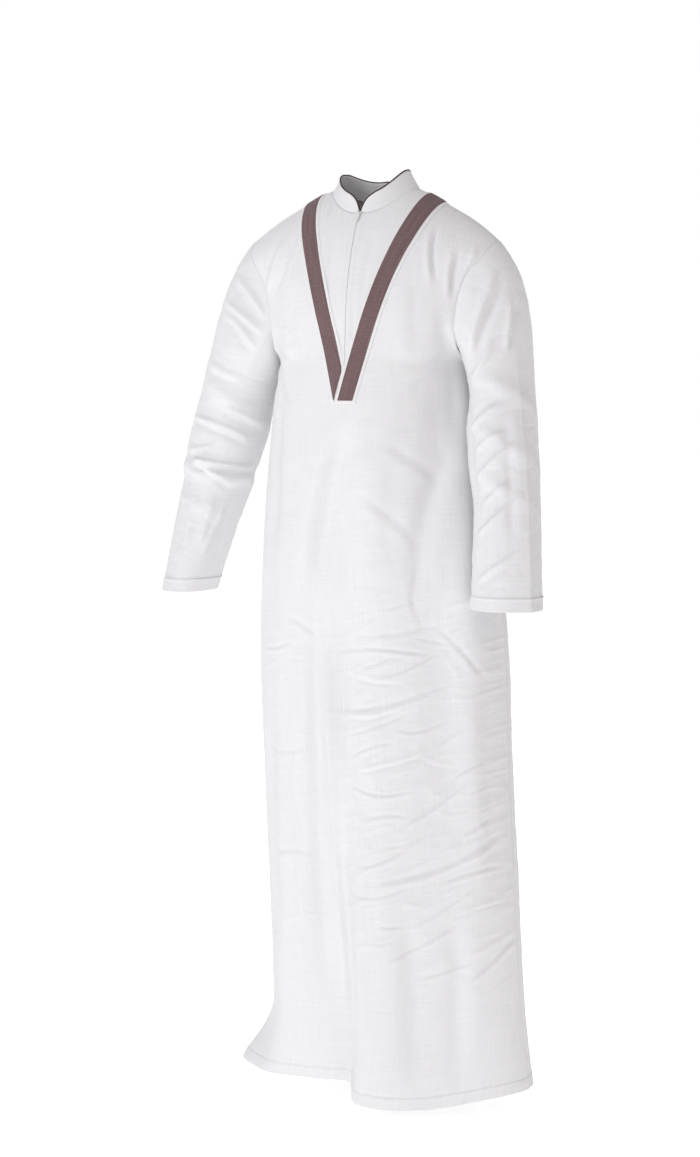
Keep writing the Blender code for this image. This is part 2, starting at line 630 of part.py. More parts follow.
def sleeve_grid(side, top_rows, tube_rows):
    """Rows of points from the armhole to the cuff: smooth curves to the first full ring, then rings."""
    loop = armhole(side)
    angle = turn_round(loop)
    turn = np.radians(angle)
    table = SLEEVES[side]
    first = ring_point(side, angle, np.full(angle.shape, FIRST_RING_Z))
    below = ring_point(side, angle, np.full(angle.shape, FIRST_RING_Z - 0.01))
    leave = np.stack([
        side * (LEAVE_OUT + LEAVE_OUT_TURN * np.cos(turn)),
        -LEAVE_FRONT * np.sin(turn),
        np.full(turn.shape, -LEAVE_DOWN),
    ], axis=-1)
    leave[np.cos(turn) < -0.75] *= np.array([PIT_LEAVE_SHARE, 1.0, 1.0])
    leave /= np.linalg.norm(leave, axis=-1, keepdims=True)
    near_pit = smooth_step((-np.cos(turn) - 0.5) / 0.5)
    start = loop + leave * ARMHOLE_GAP + near_pit[:, None] * np.array([side * PIT_SHIFT, 0, 0])
    span = np.linalg.norm(first - start, axis=-1, keepdims=True)
    arrive = (below - first) / 0.01
    rows = []
    for t in np.linspace(0, 1, top_rows + 1):
        h00, h10 = (1 + 2 * t) * (1 - t) ** 2, t * (1 - t) ** 2
        h01, h11 = t * t * (3 - 2 * t), t * t * (t - 1)
        rows.append(h00 * start + h10 * span * leave + h01 * first + h11 * span * arrive)
    for z in np.linspace(FIRST_RING_Z, table["z"][-1], tube_rows + 1)[1:]:
        rows.append(ring_point(side, angle, np.full(angle.shape, z)))
    points = np.array(rows)
    place = np.concatenate([
        np.linspace(0, SLEEVE_TOP, top_rows + 1),
        np.linspace(SLEEVE_TOP, 1, tube_rows + 1)[1:],
    ])
    return points, angle, place


def grid_normals(points, closed):
    """Normals of a grid whose rows go down and whose columns go round, by differences."""
    if closed:
        across = np.roll(points, -1, axis=1) - np.roll(points, 1, axis=1)
    else:
        across = np.gradient(points, axis=1)
    down = np.gradient(points, axis=0)
    normal = np.cross(down, across)
    return normal / np.linalg.norm(normal, axis=-1, keepdims=True)


def sleeve(side, name):
    points, angle, place = sleeve_grid(side, 6, 8)
    normals = grid_normals(points, True) * side
    out = np.zeros(points.shape[:2])
    for at, centre, reach, width, depth, slant in SLEEVE_FOLDS[side]:
        off = (angle[None, :] - centre + 180) % 360 - 180
        middle = at + slant * off / 90
        out += depth * np.exp(-((off / reach) ** 2)) * np.exp(-(((place[:, None] - middle) / width) ** 2))
    points = points + normals * out[..., None]
    normals = grid_normals(points, True) * side
    points, normals = points[::-1], normals[::-1]
    if side == RIGHT:
        points, normals = points[:, ::-1], normals[:, ::-1]
    return wall(name, points, normals, WHITE_CLOTH, -WALL / 2, WALL / 2, closed=True)


# ---------------------------------------------------------------- zip: tape, slider and pull tab

SLIDER_Z = -0.0375
SLIDER_SIZE = (0.0070, 0.0024, 0.0090)      # across, thick, tall
BAIL_WIDTH, BAIL_WIRE = 0.0016, 0.0009      # the arch on the slider that the pull tab hangs from
BAIL_REACH, BAIL_HEIGHT = 0.0034, 0.0072    # how far the arch stands out, and how tall it is
JOIN = 0.0004                               # how deep joined blocks run into each other
PIN_RADIUS = 0.0006
PULL_WIDTH, PULL_THICK, PULL_LENGTH = 0.0052, 0.0010, 0.0140
WINDOW_WIDTH, WINDOW_LENGTH = 0.0030, 0.0052
TAPE_TOP_Q = 0.006                          # in q, between the tape's chest part and the neckline


def zip_tape():
    """The tape behind the edges of the inset. Its teeth are part of it."""
    half = TAPE_WIDTH / 2
    x = np.linspace(-half, half, 5)[None, :]
    low_q = q_of(0.0, ZIP_BOTTOM_Z)
    top_q = neck_q(FRONT, 0.0) - TAPE_TOP_Q
    q = np.linspace(low_q, top_q, 8)[:, None] + 0 * x
    u = u_of(x + 0 * q, q)
    points, normals = surface(FRONT, u, q), outward(FRONT, u, q)
    high = -WALL / 2 - LAP
    wall("zip_tape", points, normals, ZIP_WHITE, high - STRIP, high)


def block(name, middle, size, finish):
    """A box with its edges along the axes, as points and faces."""
    corners = [(sx, sy, sz) for sx in (-1, 1) for sy in (-1, 1) for sz in (-1, 1)]
    points = [tuple(m + s * d / 2 for m, s, d in zip(middle, corner, size)) for corner in corners]
    faces = [(0, 1, 3, 2), (4, 6, 7, 5), (0, 4, 5, 1), (2, 3, 7, 6), (0, 2, 6, 4), (1, 5, 7, 3)]
    return add_object(name, points, faces, finish, smooth=False)


def join(base, others):
    """Unite other closed objects with base, and remove them."""
    for other in others:
        union = base.modifiers.new("union", "BOOLEAN")
        union.operation = "UNION"
        union.object = other
        other.hide_render = True
        other.display_type = "WIRE"


def slider_place():
    """Where the middle of the slider's back lies, just in front of the cloth, and its lean in radians."""
    reach = PULL_LENGTH + BAIL_HEIGHT
    z = np.linspace(SLIDER_Z - reach, SLIDER_Z + SLIDER_SIZE[2] / 2, 12)
    x = np.full(z.shape, SLIDER_SIZE[0] / 2)
    q = q_of(x, z)
    y = surface(FRONT, u_of(x, q), q)[:, 1]
    low_y, low_z = y[0], z[0]
    lean = max(0.0, float(np.arctan2(y[-1] - low_y, z[-1] - low_z)))
    ahead = (y - low_y) * cos(lean) - (z - low_z) * sin(lean)
    back = ahead.min() - WALL / 2 - 2 * SEAM
    along = (SLIDER_Z - low_z) / cos(lean)
    return (0.0, low_y + along * sin(lean) + back * cos(lean), SLIDER_Z - back * sin(lean)), lean


def zip_slider():
    """The slider's body with the arch, the bail, that the pull tab's pin runs under."""
    place, lean = slider_place()
    thick = SLIDER_SIZE[1]
    body = block("zip_slider", (0, -thick / 2, 0), SLIDER_SIZE, ZIP_WHITE)
    foot = (BAIL_WIDTH, BAIL_REACH + JOIN, BAIL_WIRE)
    foot_y = -thick - (BAIL_REACH - JOIN) / 2
    foot_z = (BAIL_HEIGHT - BAIL_WIRE) / 2
    bridge_y = -thick - BAIL_REACH + BAIL_WIRE / 2
    arch = [
        block("bail_low", (0, foot_y, -foot_z), foot, ZIP_WHITE),
        block("bail_high", (0, foot_y, foot_z), foot, ZIP_WHITE),
        block("bail_bridge", (0, bridge_y, 0), (BAIL_WIDTH, BAIL_WIRE, BAIL_HEIGHT), ZIP_WHITE),
    ]
    join(body, arch)
    for piece in [body] + arch:
        piece.location, piece.rotation_euler = place, (-lean, 0, 0)
    pin = thick + (BAIL_REACH - BAIL_WIRE) / 2
    return (0.0, place[1] - pin * cos(lean), place[2] + pin * sin(lean)), lean


def zip_pull(pin_place, lean):
    """The tab, lying on the cloth below a pin under the bail. Its origin is on the pin's axis."""
    arm_width = (PULL_WIDTH - WINDOW_WIDTH) / 2
    tab_length = PULL_LENGTH - WINDOW_LENGTH
    tab_middle = (0, 0, -WINDOW_LENGTH - tab_length / 2)
    tab = block("zip_pull", tab_middle, (PULL_WIDTH, PULL_THICK, tab_length), ZIP_WHITE)
    parts = []
    for name, side in (("pull_arm_right", -1), ("pull_arm_left", 1)):
        x = side * (WINDOW_WIDTH + arm_width) / 2
        height = WINDOW_LENGTH + PIN_RADIUS + JOIN
        parts.append(block(name, (x, 0, PIN_RADIUS - height / 2), (arm_width, PULL_THICK, height), ZIP_WHITE))
    pin_end = WINDOW_WIDTH / 2 + JOIN
    pin_path = np.array([[-pin_end, 0, 0], [0, 0, 0], [pin_end, 0, 0]])
    parts.append(tube("pull_pin", pin_path, PIN_RADIUS, ZIP_WHITE, sides=8))
    join(tab, parts)
    for piece in [tab] + parts:
        piece.location, piece.rotation_euler = pin_place, (-lean, 0, 0)


# ---------------------------------------------------------------- build every piece

front_panel()
back_panel()
inset_half(LEFT, "inset_left")
inset_half(RIGHT, "inset_right")
v_strips()
collar()
sleeve(LEFT, "sleeve_left")
sleeve(RIGHT, "sleeve_right")
zip_tape()
zip_pull(*zip_slider())
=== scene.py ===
# %% [markdown]
# A thobe is an ankle-length robe. This one is white, with long sleeves, a stand-up collar, a zip and a V of
# brown bands on the chest, and it is shown as it hangs on a wearer who isn't there. The robe could be
# draped by a cloth simulation from flat pieces. Here every piece follows one smooth form made from a few
# tables of sizes, and its creases are placed one by one, so each fold can be moved or made deeper alone.

# %% Load the imported frame
from math import cos, pi, radians, sin

import bpy
import numpy as np
from mathutils import Matrix, Vector


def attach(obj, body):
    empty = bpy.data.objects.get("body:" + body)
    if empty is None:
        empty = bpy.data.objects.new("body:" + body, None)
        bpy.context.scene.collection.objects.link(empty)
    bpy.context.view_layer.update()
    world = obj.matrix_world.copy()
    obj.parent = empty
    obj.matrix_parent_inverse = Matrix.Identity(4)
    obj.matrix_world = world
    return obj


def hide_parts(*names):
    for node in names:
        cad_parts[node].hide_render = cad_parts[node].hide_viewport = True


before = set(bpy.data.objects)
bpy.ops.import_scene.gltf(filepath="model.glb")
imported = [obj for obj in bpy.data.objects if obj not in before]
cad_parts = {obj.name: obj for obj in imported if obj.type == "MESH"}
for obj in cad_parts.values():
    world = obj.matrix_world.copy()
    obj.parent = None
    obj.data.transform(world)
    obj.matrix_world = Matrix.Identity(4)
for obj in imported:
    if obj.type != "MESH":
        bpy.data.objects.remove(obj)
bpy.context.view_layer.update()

# %% [markdown]
# The form. Seen from above, a worn robe is close to an oval at every height. A table gives the oval's half
# widths and depths from the hem up, and smooth curves join the rows. The chest then rounds over to the
# shoulder line. A place on the cloth is (u, q): u runs across from the wearer's right side seam, -1, to the
# left one, +1, and q runs up from 0 at the hem through 1 at chest height to 2 on top of the shoulder. All
# sizes are in metres, except in the tables of creases.

# %% Driving sizes
HEM_Z, ARMPIT_Z, CAP_Z, SHOULDER_TIP_Z = -1.480, -0.285, -0.220, -0.080
CAP_POWER = 1.8                 # shape of the bend over the shoulder: 2 is round, and less is flatter
BLEND_X, BLEND_U = 0.04, 0.3    # over what width the right and left tables blend in the middle
FRONT, BACK = -1, 1
RIGHT, LEFT = -1, 1

SECTIONS = {
    "z":          [-1.480, -1.420, -1.350, -1.150, -0.950, -0.750, -0.600, -0.450,
                   -0.360, -0.285, -0.250, -0.220],
    "right":      [0.238, 0.212, 0.201, 0.197, 0.200, 0.205, 0.200, 0.188, 0.177, 0.166, 0.162, 0.161],
    "left":       [0.256, 0.250, 0.245, 0.239, 0.232, 0.225, 0.209, 0.186, 0.172, 0.163, 0.160, 0.160],
    "seam_front": [0.055, 0.048, 0.040, 0.022, 0.012, 0.010, 0.010, 0.010, 0.008, 0.005, -0.050, -0.068],
    "seam_back":  [0.055, 0.048, 0.040, 0.022, 0.012, 0.010, 0.010, 0.010, 0.008, 0.005, 0.068, 0.088],
    "front":      [-0.065, -0.073, -0.082, -0.108, -0.126, -0.138, -0.147, -0.150,
                   -0.146, -0.139, -0.1355, -0.1335],
    "back":       [0.200, 0.193, 0.186, 0.166, 0.150, 0.138, 0.130, 0.127, 0.128, 0.128, 0.127, 0.125],
    "wrap":       [90, 90, 90, 90, 90, 90, 90, 90, 90, 86, 62, 50],
}
ARMHOLE = {
    "z": [-0.220, -0.190, -0.150, -0.115, -0.070],
    "right": [0.161, 0.166, 0.184, 0.208, 0.226],
    "left": [0.160, 0.164, 0.176, 0.197, 0.212],
}
SHOULDER = {
    "x": [0.000, 0.066, 0.095, 0.118, 0.170, 0.226],
    "right": [0.018, 0.010, 0.000, -0.012, -0.039, -0.076],
    "left": [0.018, 0.009, -0.003, -0.016, -0.047, -0.094],
    "y": [0.004, 0.004, 0.005, 0.006, 0.009, 0.012],
}
print(len(SECTIONS["z"]), "sections from the hem to the chest")

# %% [markdown]
# The largest folds move the cloth in or out at an angle round the body, 0 at the front and 90 at the
# wearer's left. Each runs from its top to its low end and fades there. They belong to the form, because
# they change the outline: the left knee pushes the front panel forward, and the right hem corner swings out
# over the foot.

# %% The largest folds
FOLDS = [
    # name                top_z  low_z  top_deg  low_deg  before  after  top_out  low_out  fade
    ("knee ridge",        -0.70, -1.48,    -9.0,     0.5,    7.0,  24.0,   0.006,   0.046,  0.20),
    ("knee trough",       -0.40, -1.48,     2.0,   -14.0,   15.0,   9.0,  -0.007,  -0.036,  0.14),
    ("shin trough",       -0.80, -1.48,   -27.0,   -34.0,    9.0,  10.0,  -0.004,  -0.009,  0.20),
    ("shin ridge",        -0.85, -1.48,   -44.0,   -52.0,   10.0,  11.0,   0.004,   0.008,  0.25),
    ("arm trough",        -0.24, -0.82,    62.0,    31.0,   15.0,  13.0,  -0.014,  -0.006,  0.12),
    ("hip ridge",         -0.42, -1.10,    58.0,    60.0,   12.0,  14.0,   0.007,   0.003,  0.15),
    ("right arm trough",  -0.26, -0.75,   -58.0,   -48.0,   14.0,  13.0,  -0.010,  -0.004,  0.12),
    ("corner flare",      -1.36, -1.48,   -98.0,   -98.0,   24.0,  30.0,   0.000,   0.036,  0.02),
    ("back middle",       -0.34, -1.30,   178.0,   172.0,   13.0,  13.0,  -0.012,  -0.006,  0.20),
    ("back left",         -0.55, -1.48,   142.0,   136.0,   10.0,  12.0,   0.006,   0.016,  0.25),
    ("back left low",     -0.75, -1.48,   158.0,   155.0,    9.0,  10.0,  -0.005,  -0.015,  0.25),
    ("back right",        -0.50, -1.48,   212.0,   217.0,   11.0,  12.0,   0.006,   0.015,  0.25),
    ("back right low",    -0.80, -1.48,   196.0,   194.0,    9.0,  10.0,   0.003,   0.013,  0.20),
    ("back side",         -0.60, -1.48,   236.0,   240.0,   10.0,  10.0,  -0.006,  -0.012,  0.25),
    ("thigh hollow",      -0.56, -1.16,    46.0,    38.0,   15.0,   9.0,  -0.013,  -0.004,  0.22),
    ("under left blade",  -0.17, -0.66,   122.0,   134.0,   15.0,  17.0,   0.012,   0.002,  0.13),
    ("under right blade", -0.17, -0.60,   238.0,   224.0,   17.0,  15.0,   0.012,   0.002,  0.13),
    ("right chest",       -0.17, -0.52,   -57.0,   -46.0,   15.0,  15.0,   0.008,   0.001,  0.13),
    ("left chest",        -0.17, -0.50,    54.0,    44.0,   14.0,  14.0,   0.007,   0.001,  0.13),
]


def through(xs, ys, at):
    """A smooth curve through the points of a table that never swings past them."""
    xs, ys, at = np.asarray(xs, float), np.asarray(ys, float), np.asarray(at, float)
    if xs[0] > xs[-1]:
        xs, ys = xs[::-1], ys[::-1]
    step = np.diff(xs)
    slope = np.diff(ys) / step
    left, right = slope[:-1], slope[1:]
    same_way = left * right > 0
    inner = np.where(same_way, 2 * left * right / np.where(same_way, left + right, 1.0), 0.0)
    tangent = np.concatenate([slope[:1], inner, slope[-1:]])
    at = np.clip(at, xs[0], xs[-1])
    i = np.clip(np.searchsorted(xs, at, side="right") - 1, 0, len(step) - 1)
    t, h = (at - xs[i]) / step[i], step[i]
    return (ys[i] * (1 + 2 * t) * (1 - t) ** 2 + ys[i + 1] * t * t * (3 - 2 * t)
            + h * tangent[i] * t * (1 - t) ** 2 + h * tangent[i + 1] * t * t * (t - 1))


def smooth_step(t):
    t = np.clip(t, 0.0, 1.0)
    return t * t * (3 - 2 * t)


def unit(vectors):
    return vectors / np.linalg.norm(vectors, axis=-1, keepdims=True)


def degrees_from(angle, centre):
    """How far an angle is from a centre, from -180 to 180."""
    return (angle - centre + 180) % 360 - 180


def fold_offset(angle, z):
    """How far the largest folds move the cloth out at an angle round the body and a height."""
    total = np.zeros(np.broadcast(angle, z).shape)
    for _, top_z, low_z, top_deg, low_deg, before, after, top_out, low_out, fade in FOLDS:
        along = np.clip((top_z - z) / (top_z - low_z), 0, 1)
        off = degrees_from(angle, top_deg + (low_deg - top_deg) * along)
        out = top_out + (low_out - top_out) * smooth_step(along)
        ends = smooth_step((top_z - z) / fade)
        if low_z > HEM_Z:
            ends = ends * smooth_step((z - low_z) / fade)
        total = total + out * ends * np.exp(-((off / np.where(off < 0, before, after)) ** 2))
    return total


print(len(FOLDS), "large folds, the deepest", max(abs(f[8]) for f in FOLDS), "m")

# %% [markdown]
# The two surfaces, front and back, share one rule. Below the chest a point lies on the oval at its height;
# above it, the cloth bends over towards the shoulder along a flattened quarter circle, which is how a yoke
# sits.

# %% Front and back surfaces


def section(column, z):
    return through(SECTIONS["z"], SECTIONS[column], z)


def body_level(side, u, z):
    """A point of the front or back surface below the rounding of the shoulder."""
    name = "front" if side == FRONT else "back"
    wrap = np.radians(section("wrap", z))
    turn = u * wrap
    right, left = section("right", z), section("left", z)
    x = (left - right) / 2 + (left + right) / 2 * np.sin(turn) / np.sin(wrap)
    edge, middle = section("seam_" + name, z), section(name, z)
    y = edge + (middle - edge) * (np.cos(turn) - np.cos(wrap)) / (1 - np.cos(wrap))
    angle = u * 90.0 if side == FRONT else 180.0 - u * 90.0
    out = fold_offset(angle, z)
    return x + out * np.sin(np.radians(angle)), y - out * np.cos(np.radians(angle))


def blend_sides(table, key, at, share):
    """The right and left columns of a table, blended as share goes from 0 on the right to 1 on the left."""
    right, left = (through(table[key], table[side], at) for side in ("right", "left"))
    return right * (1 - share) + left * share


def shoulder_z(x):
    """Height of the line along the top of the shoulders, x from the middle."""
    return blend_sides(SHOULDER, "x", np.abs(x), smooth_step(0.5 + x / BLEND_X))


def armhole_x(u, rise):
    """Half width to the armhole, where rise goes from 0 to 1 up to the shoulder."""
    edge_z = CAP_Z + (SHOULDER_TIP_Z - CAP_Z) * rise
    return blend_sides(ARMHOLE, "z", edge_z, smooth_step(0.5 + u / BLEND_U))


def surface(side, u, q):
    """The points of the front or back surface at (u, q)."""
    u, q = np.broadcast_arrays(np.asarray(u, float), np.asarray(q, float))
    z = HEM_Z + (CAP_Z - HEM_Z) * np.minimum(q, 1.0)
    x, y = body_level(side, u, z)
    turn = np.clip(q - 1.0, 0.0, 1.0) * pi / 2
    rise = np.sin(turn) ** (2 / CAP_POWER)
    wrap = radians(SECTIONS["wrap"][-1])
    cap_x = armhole_x(u, rise) * np.sin(u * wrap) / sin(wrap)
    top_y = through(SHOULDER["x"], SHOULDER["y"], np.abs(cap_x))
    cap_z = CAP_Z + (shoulder_z(cap_x) - CAP_Z) * rise
    cap_y = top_y + (y - top_y) * np.cos(turn) ** (2 / CAP_POWER)
    over = q > 1.0
    return np.stack([np.where(over, cap_x, x), np.where(over, cap_y, y), np.where(over, cap_z, z)], axis=-1)


def q_of(x, z):
    """q of the place on a surface that is x from the middle and at height z, above the armpit."""
    rise = np.clip((z - CAP_Z) / (shoulder_z(x) - CAP_Z), 0.0, 1.0)
    above = 1 + np.arcsin(rise ** (CAP_POWER / 2)) / (pi / 2)
    return np.where(z > CAP_Z, above, (z - HEM_Z) / (CAP_Z - HEM_Z))


def u_of(x, q):
    """u of the place on a surface at distance x from the middle and height q."""
    rise = np.sin(np.clip(q - 1.0, 0.0, 1.0) * pi / 2) ** (2 / CAP_POWER)
    low_z = HEM_Z + (CAP_Z - HEM_Z) * np.minimum(q, 1.0)
    over = q > 1.0
    right, left = section("right", low_z), section("left", low_z)
    middle = np.where(over, 0.0, (left - right) / 2)
    half = np.where(over, armhole_x(np.sign(x) * np.minimum(np.abs(x) / 0.2, 1), rise), (left + right) / 2)
    wrap = np.radians(np.where(over, SECTIONS["wrap"][-1], section("wrap", low_z)))
    return np.arcsin(np.clip((x - middle) / half * np.sin(wrap), -1, 1)) / wrap


def outward(side, u, q):
    """Unit normals of a surface, away from the wearer."""
    small, top = 0.004, 1.995
    across = surface(side, np.clip(u + small, -1, 1), q) - surface(side, np.clip(u - small, -1, 1), q)
    high, low = np.clip(q + small, 0, top), np.clip(q - small, 0, top - small)
    upward = surface(side, u, high) - surface(side, u, low)
    return unit(np.cross(across, upward) * (1 if side == FRONT else -1))


print("chest depth", round(float(surface(BACK, 0, 1.0)[1] - surface(FRONT, 0, 1.0)[1]), 3), "m")

# %% [markdown]
# Creases. A crease in worn cotton is a narrow trough with a soft ridge pushed up beside it, and it runs
# along a slightly bent line. Each row below is one of them: three points that it passes, its width, and how
# far it stands out, where less than 0 is a trough, all in millimetres. The last number is the height of the
# ridge as a share of the trough, and its sign is the side it's on. Wide shallow rows are the soft folds of
# hanging cloth, and narrow ones the crumples left by sitting. They could be sculpted or simulated; a table
# keeps each one's size in sight.

# %% Creases on the front and the back, in x and z
FRONT_CREASES = [
    # start x, z  through x, z end x, z     width   out beside
    (  20,  -365,  -30,  -500,  -55,  -690, 18.0, -11.5,  0.3),
    ( -45,  -700,  -30, -1000,  -34, -1475, 11.0,   8.5,  0.0),
    ( -62,  -560,  -60,  -950,  -64, -1440, 18.0, -10.0,  0.0),
    (  10,  -620,    0, -1000,    6, -1420, 20.0,  -3.0,  0.3),
    ( 145,  -170,  152,  -290,  160,  -415, 12.0,  -6.0, -0.4),
    ( 162,  -400,  125,  -520,  116,  -700, 14.0,  -5.5, -0.5),
    ( 120,  -300,   85,  -460,   80,  -620, 20.0,  -3.0,  0.5),
    (-150,  -270, -140,  -420, -150,  -620, 14.0,  -4.5,  0.5),
    (-100,  -560, -108,  -860, -100, -1200, 18.0,  -3.5,  0.5),
    ( -60,  -760,  -70, -1000,  -75, -1380, 14.0,  -4.0, -0.5),
    (-150,  -760, -158, -1000, -150, -1330, 13.0,  -3.5,  0.6),
    (  30,  -900,   40, -1120,   34, -1440, 16.0,  -3.5,  0.4),
    (  95, -1150,  105, -1300,  100, -1470, 15.0,  -4.0,  0.5),
    ( 165, -1120,  168, -1300,  160, -1470, 14.0,  -4.5, -0.5),
    ( 210,  -760,  218,  -950,  222, -1180, 12.0,  -3.5,  0.5),
    ( 127,   -55,  128,  -100,  138,  -155,  4.5,  -4.5,  0.7),
    ( 167,   -90,  159,  -128,  161,  -180,  4.5,  -4.8,  0.7),
    ( 188,   -85,  180,  -120,  166,  -160,  6.0,   4.2,  0.3),
    (-137,   -70, -152,  -118, -168,  -165,  6.0,   4.5,  0.4),
    (-115,   -60, -125,  -110, -148,  -170,  6.0,  -3.3,  0.5),
    (-170,  -210, -140,  -250, -110,  -270,  6.0,  -3.3,  0.6),
    ( 165,  -230,  130,  -265,   90,  -280,  7.0,  -2.2,  0.6),
    (-100,  -150, -105,  -220,  -95,  -300, 12.0,  -1.8,  0.5),
    ( 100,  -120,  110,  -200,  105,  -300, 12.0,  -1.8,  0.5),
    (  60,  -400,  110,  -430,  150,  -480,  8.0,  -1.8,  0.6),
    (  20,  -480,   80,  -520,  130,  -580,  8.0,  -1.8,  0.6),
    (  16,  -713,   85,  -707,  151,  -692,  4.2,  -1.5,  0.7),
    (  12,  -732,   80,  -734,  138,  -744,  2.9,  -2.1,  0.7),
    (  -8,  -779,   55,  -788,  104,  -789,  3.6,  -1.5, -0.7),
    ( -47,  -834,   62,  -825,  183,  -777,  4.8,  -2.3,  0.7),
    ( -14,  -879,   55,  -858,  114,  -829,  3.2,  -1.4,  0.7),
    (  13,  -940,   78,  -922,  141,  -901,  3.4,  -2.2, -0.7),
    (  85,  -976,  138,  -893,  190,  -861,  4.5,  -1.9,  0.7),
    (  84, -1025,  143,  -986,  200,  -934,  3.2,  -2.2,  0.7),
    ( 152, -1067,  190, -1030,  228, -1010,  3.4,  -1.5,  0.7),
    (  22, -1118,  163, -1083,  240, -1024,  4.8,  -2.6,  0.7),
    ( 106, -1184,  154, -1154,  204, -1116,  3.2,  -1.6,  0.7),
    (  50, -1181,   72, -1183,   94, -1179,  3.0,  -1.4,  0.7),
    ( 177, -1233,  215, -1216,  239, -1198,  4.0,  -1.4,  0.7),
    ( 173, -1283,  215, -1252,  240, -1214,  3.0,  -2.4,  0.7),
    ( 131,  -692,  180,  -735,  215,  -792,  4.3,  -1.7,  0.6),
    (-120,  -686,  -80,  -700,  -50,  -724,  5.0,  -1.3,  0.6),
    (-180,  -903, -120,  -915,  -68,  -890,  3.7,  -0.8,  0.6),
    (-162, -1095, -110, -1080,  -58, -1097,  4.3,  -1.3,  0.6),
    (  21,  -764,   52,  -757,   88,  -740,  3.0,  -1.1,  0.8),
    (  71,  -778,  110,  -760,  144,  -735,  2.6,  -1.3,  0.8),
    ( 102,  -709,  140,  -722,  171,  -721,  2.7,  -1.0,  0.8),
    (  -3,  -849,   48,  -846,  102,  -826,  3.0,  -1.6, -0.8),
    (  79,  -857,  118,  -866,  163,  -842,  2.6,  -1.3,  0.8),
    (  -6,  -918,   45,  -892,   84,  -884,  2.6,  -1.3,  0.8),
    ( 110,  -906,  150,  -925,  177,  -925,  3.2,  -1.0, -0.8),
    (  -2,  -952,   52,  -970,  113,  -960,  2.6,  -1.6,  0.8),
    ( 141,  -981,  172,  -940,  218,  -913,  2.7,  -1.7,  0.8),
    (  22, -1016,   72, -1002,  109, -1009,  3.0,  -1.3,  0.8),
    (  61, -1052,  105, -1046,  149, -1014,  2.6,  -1.0, -0.8),
    (   8, -1091,   62, -1078,  110, -1045,  2.6,  -1.5,  0.8),
    ( 135, -1121,  188, -1100,  240, -1093,  3.4,  -1.7,  0.8),
    (   1, -1134,   55, -1136,  112, -1110,  2.6,  -1.2,  0.8),
    ( 162, -1177,  202, -1160,  240, -1155,  2.7,  -1.2, -0.8),
    (  57, -1244,  125, -1210,  184, -1172,  3.2,  -1.6,  0.8),
    (  20, -1208,   55, -1212,   83, -1200,  2.6,  -0.8,  0.8),
    ( 101, -1270,  155, -1258,  203, -1243,  2.6,  -1.2,  0.8),
    ( 195, -1312,  222, -1290,  240, -1272,  3.0,  -0.9,  0.8),
    ( -25,  -748,   12,  -736,   53,  -741,  2.6,  -1.3,  0.8),
    (  47,  -666,   92,  -662,  134,  -640,  2.9,  -0.9,  0.8),
    ( 133,  -584,  110,  -640,  129,  -711,  4.5,  -1.3,  0.8),
    (-117, -1173,  -80, -1186,  -38, -1184,  2.6,  -0.6,  0.8),
    (-176,  -743, -140,  -742, -104,  -727,  2.9,  -1.1,  0.8),
    (-156,  -262, -132,  -300,  -96,  -352,  8.0,  -3.4,  0.5),
    (-150,  -290, -138,  -350, -132,  -440, 10.0,  -3.4,  0.5),
    ( 150,  -262,  126,  -292,   90,  -330,  8.0,  -3.0,  0.5),
]
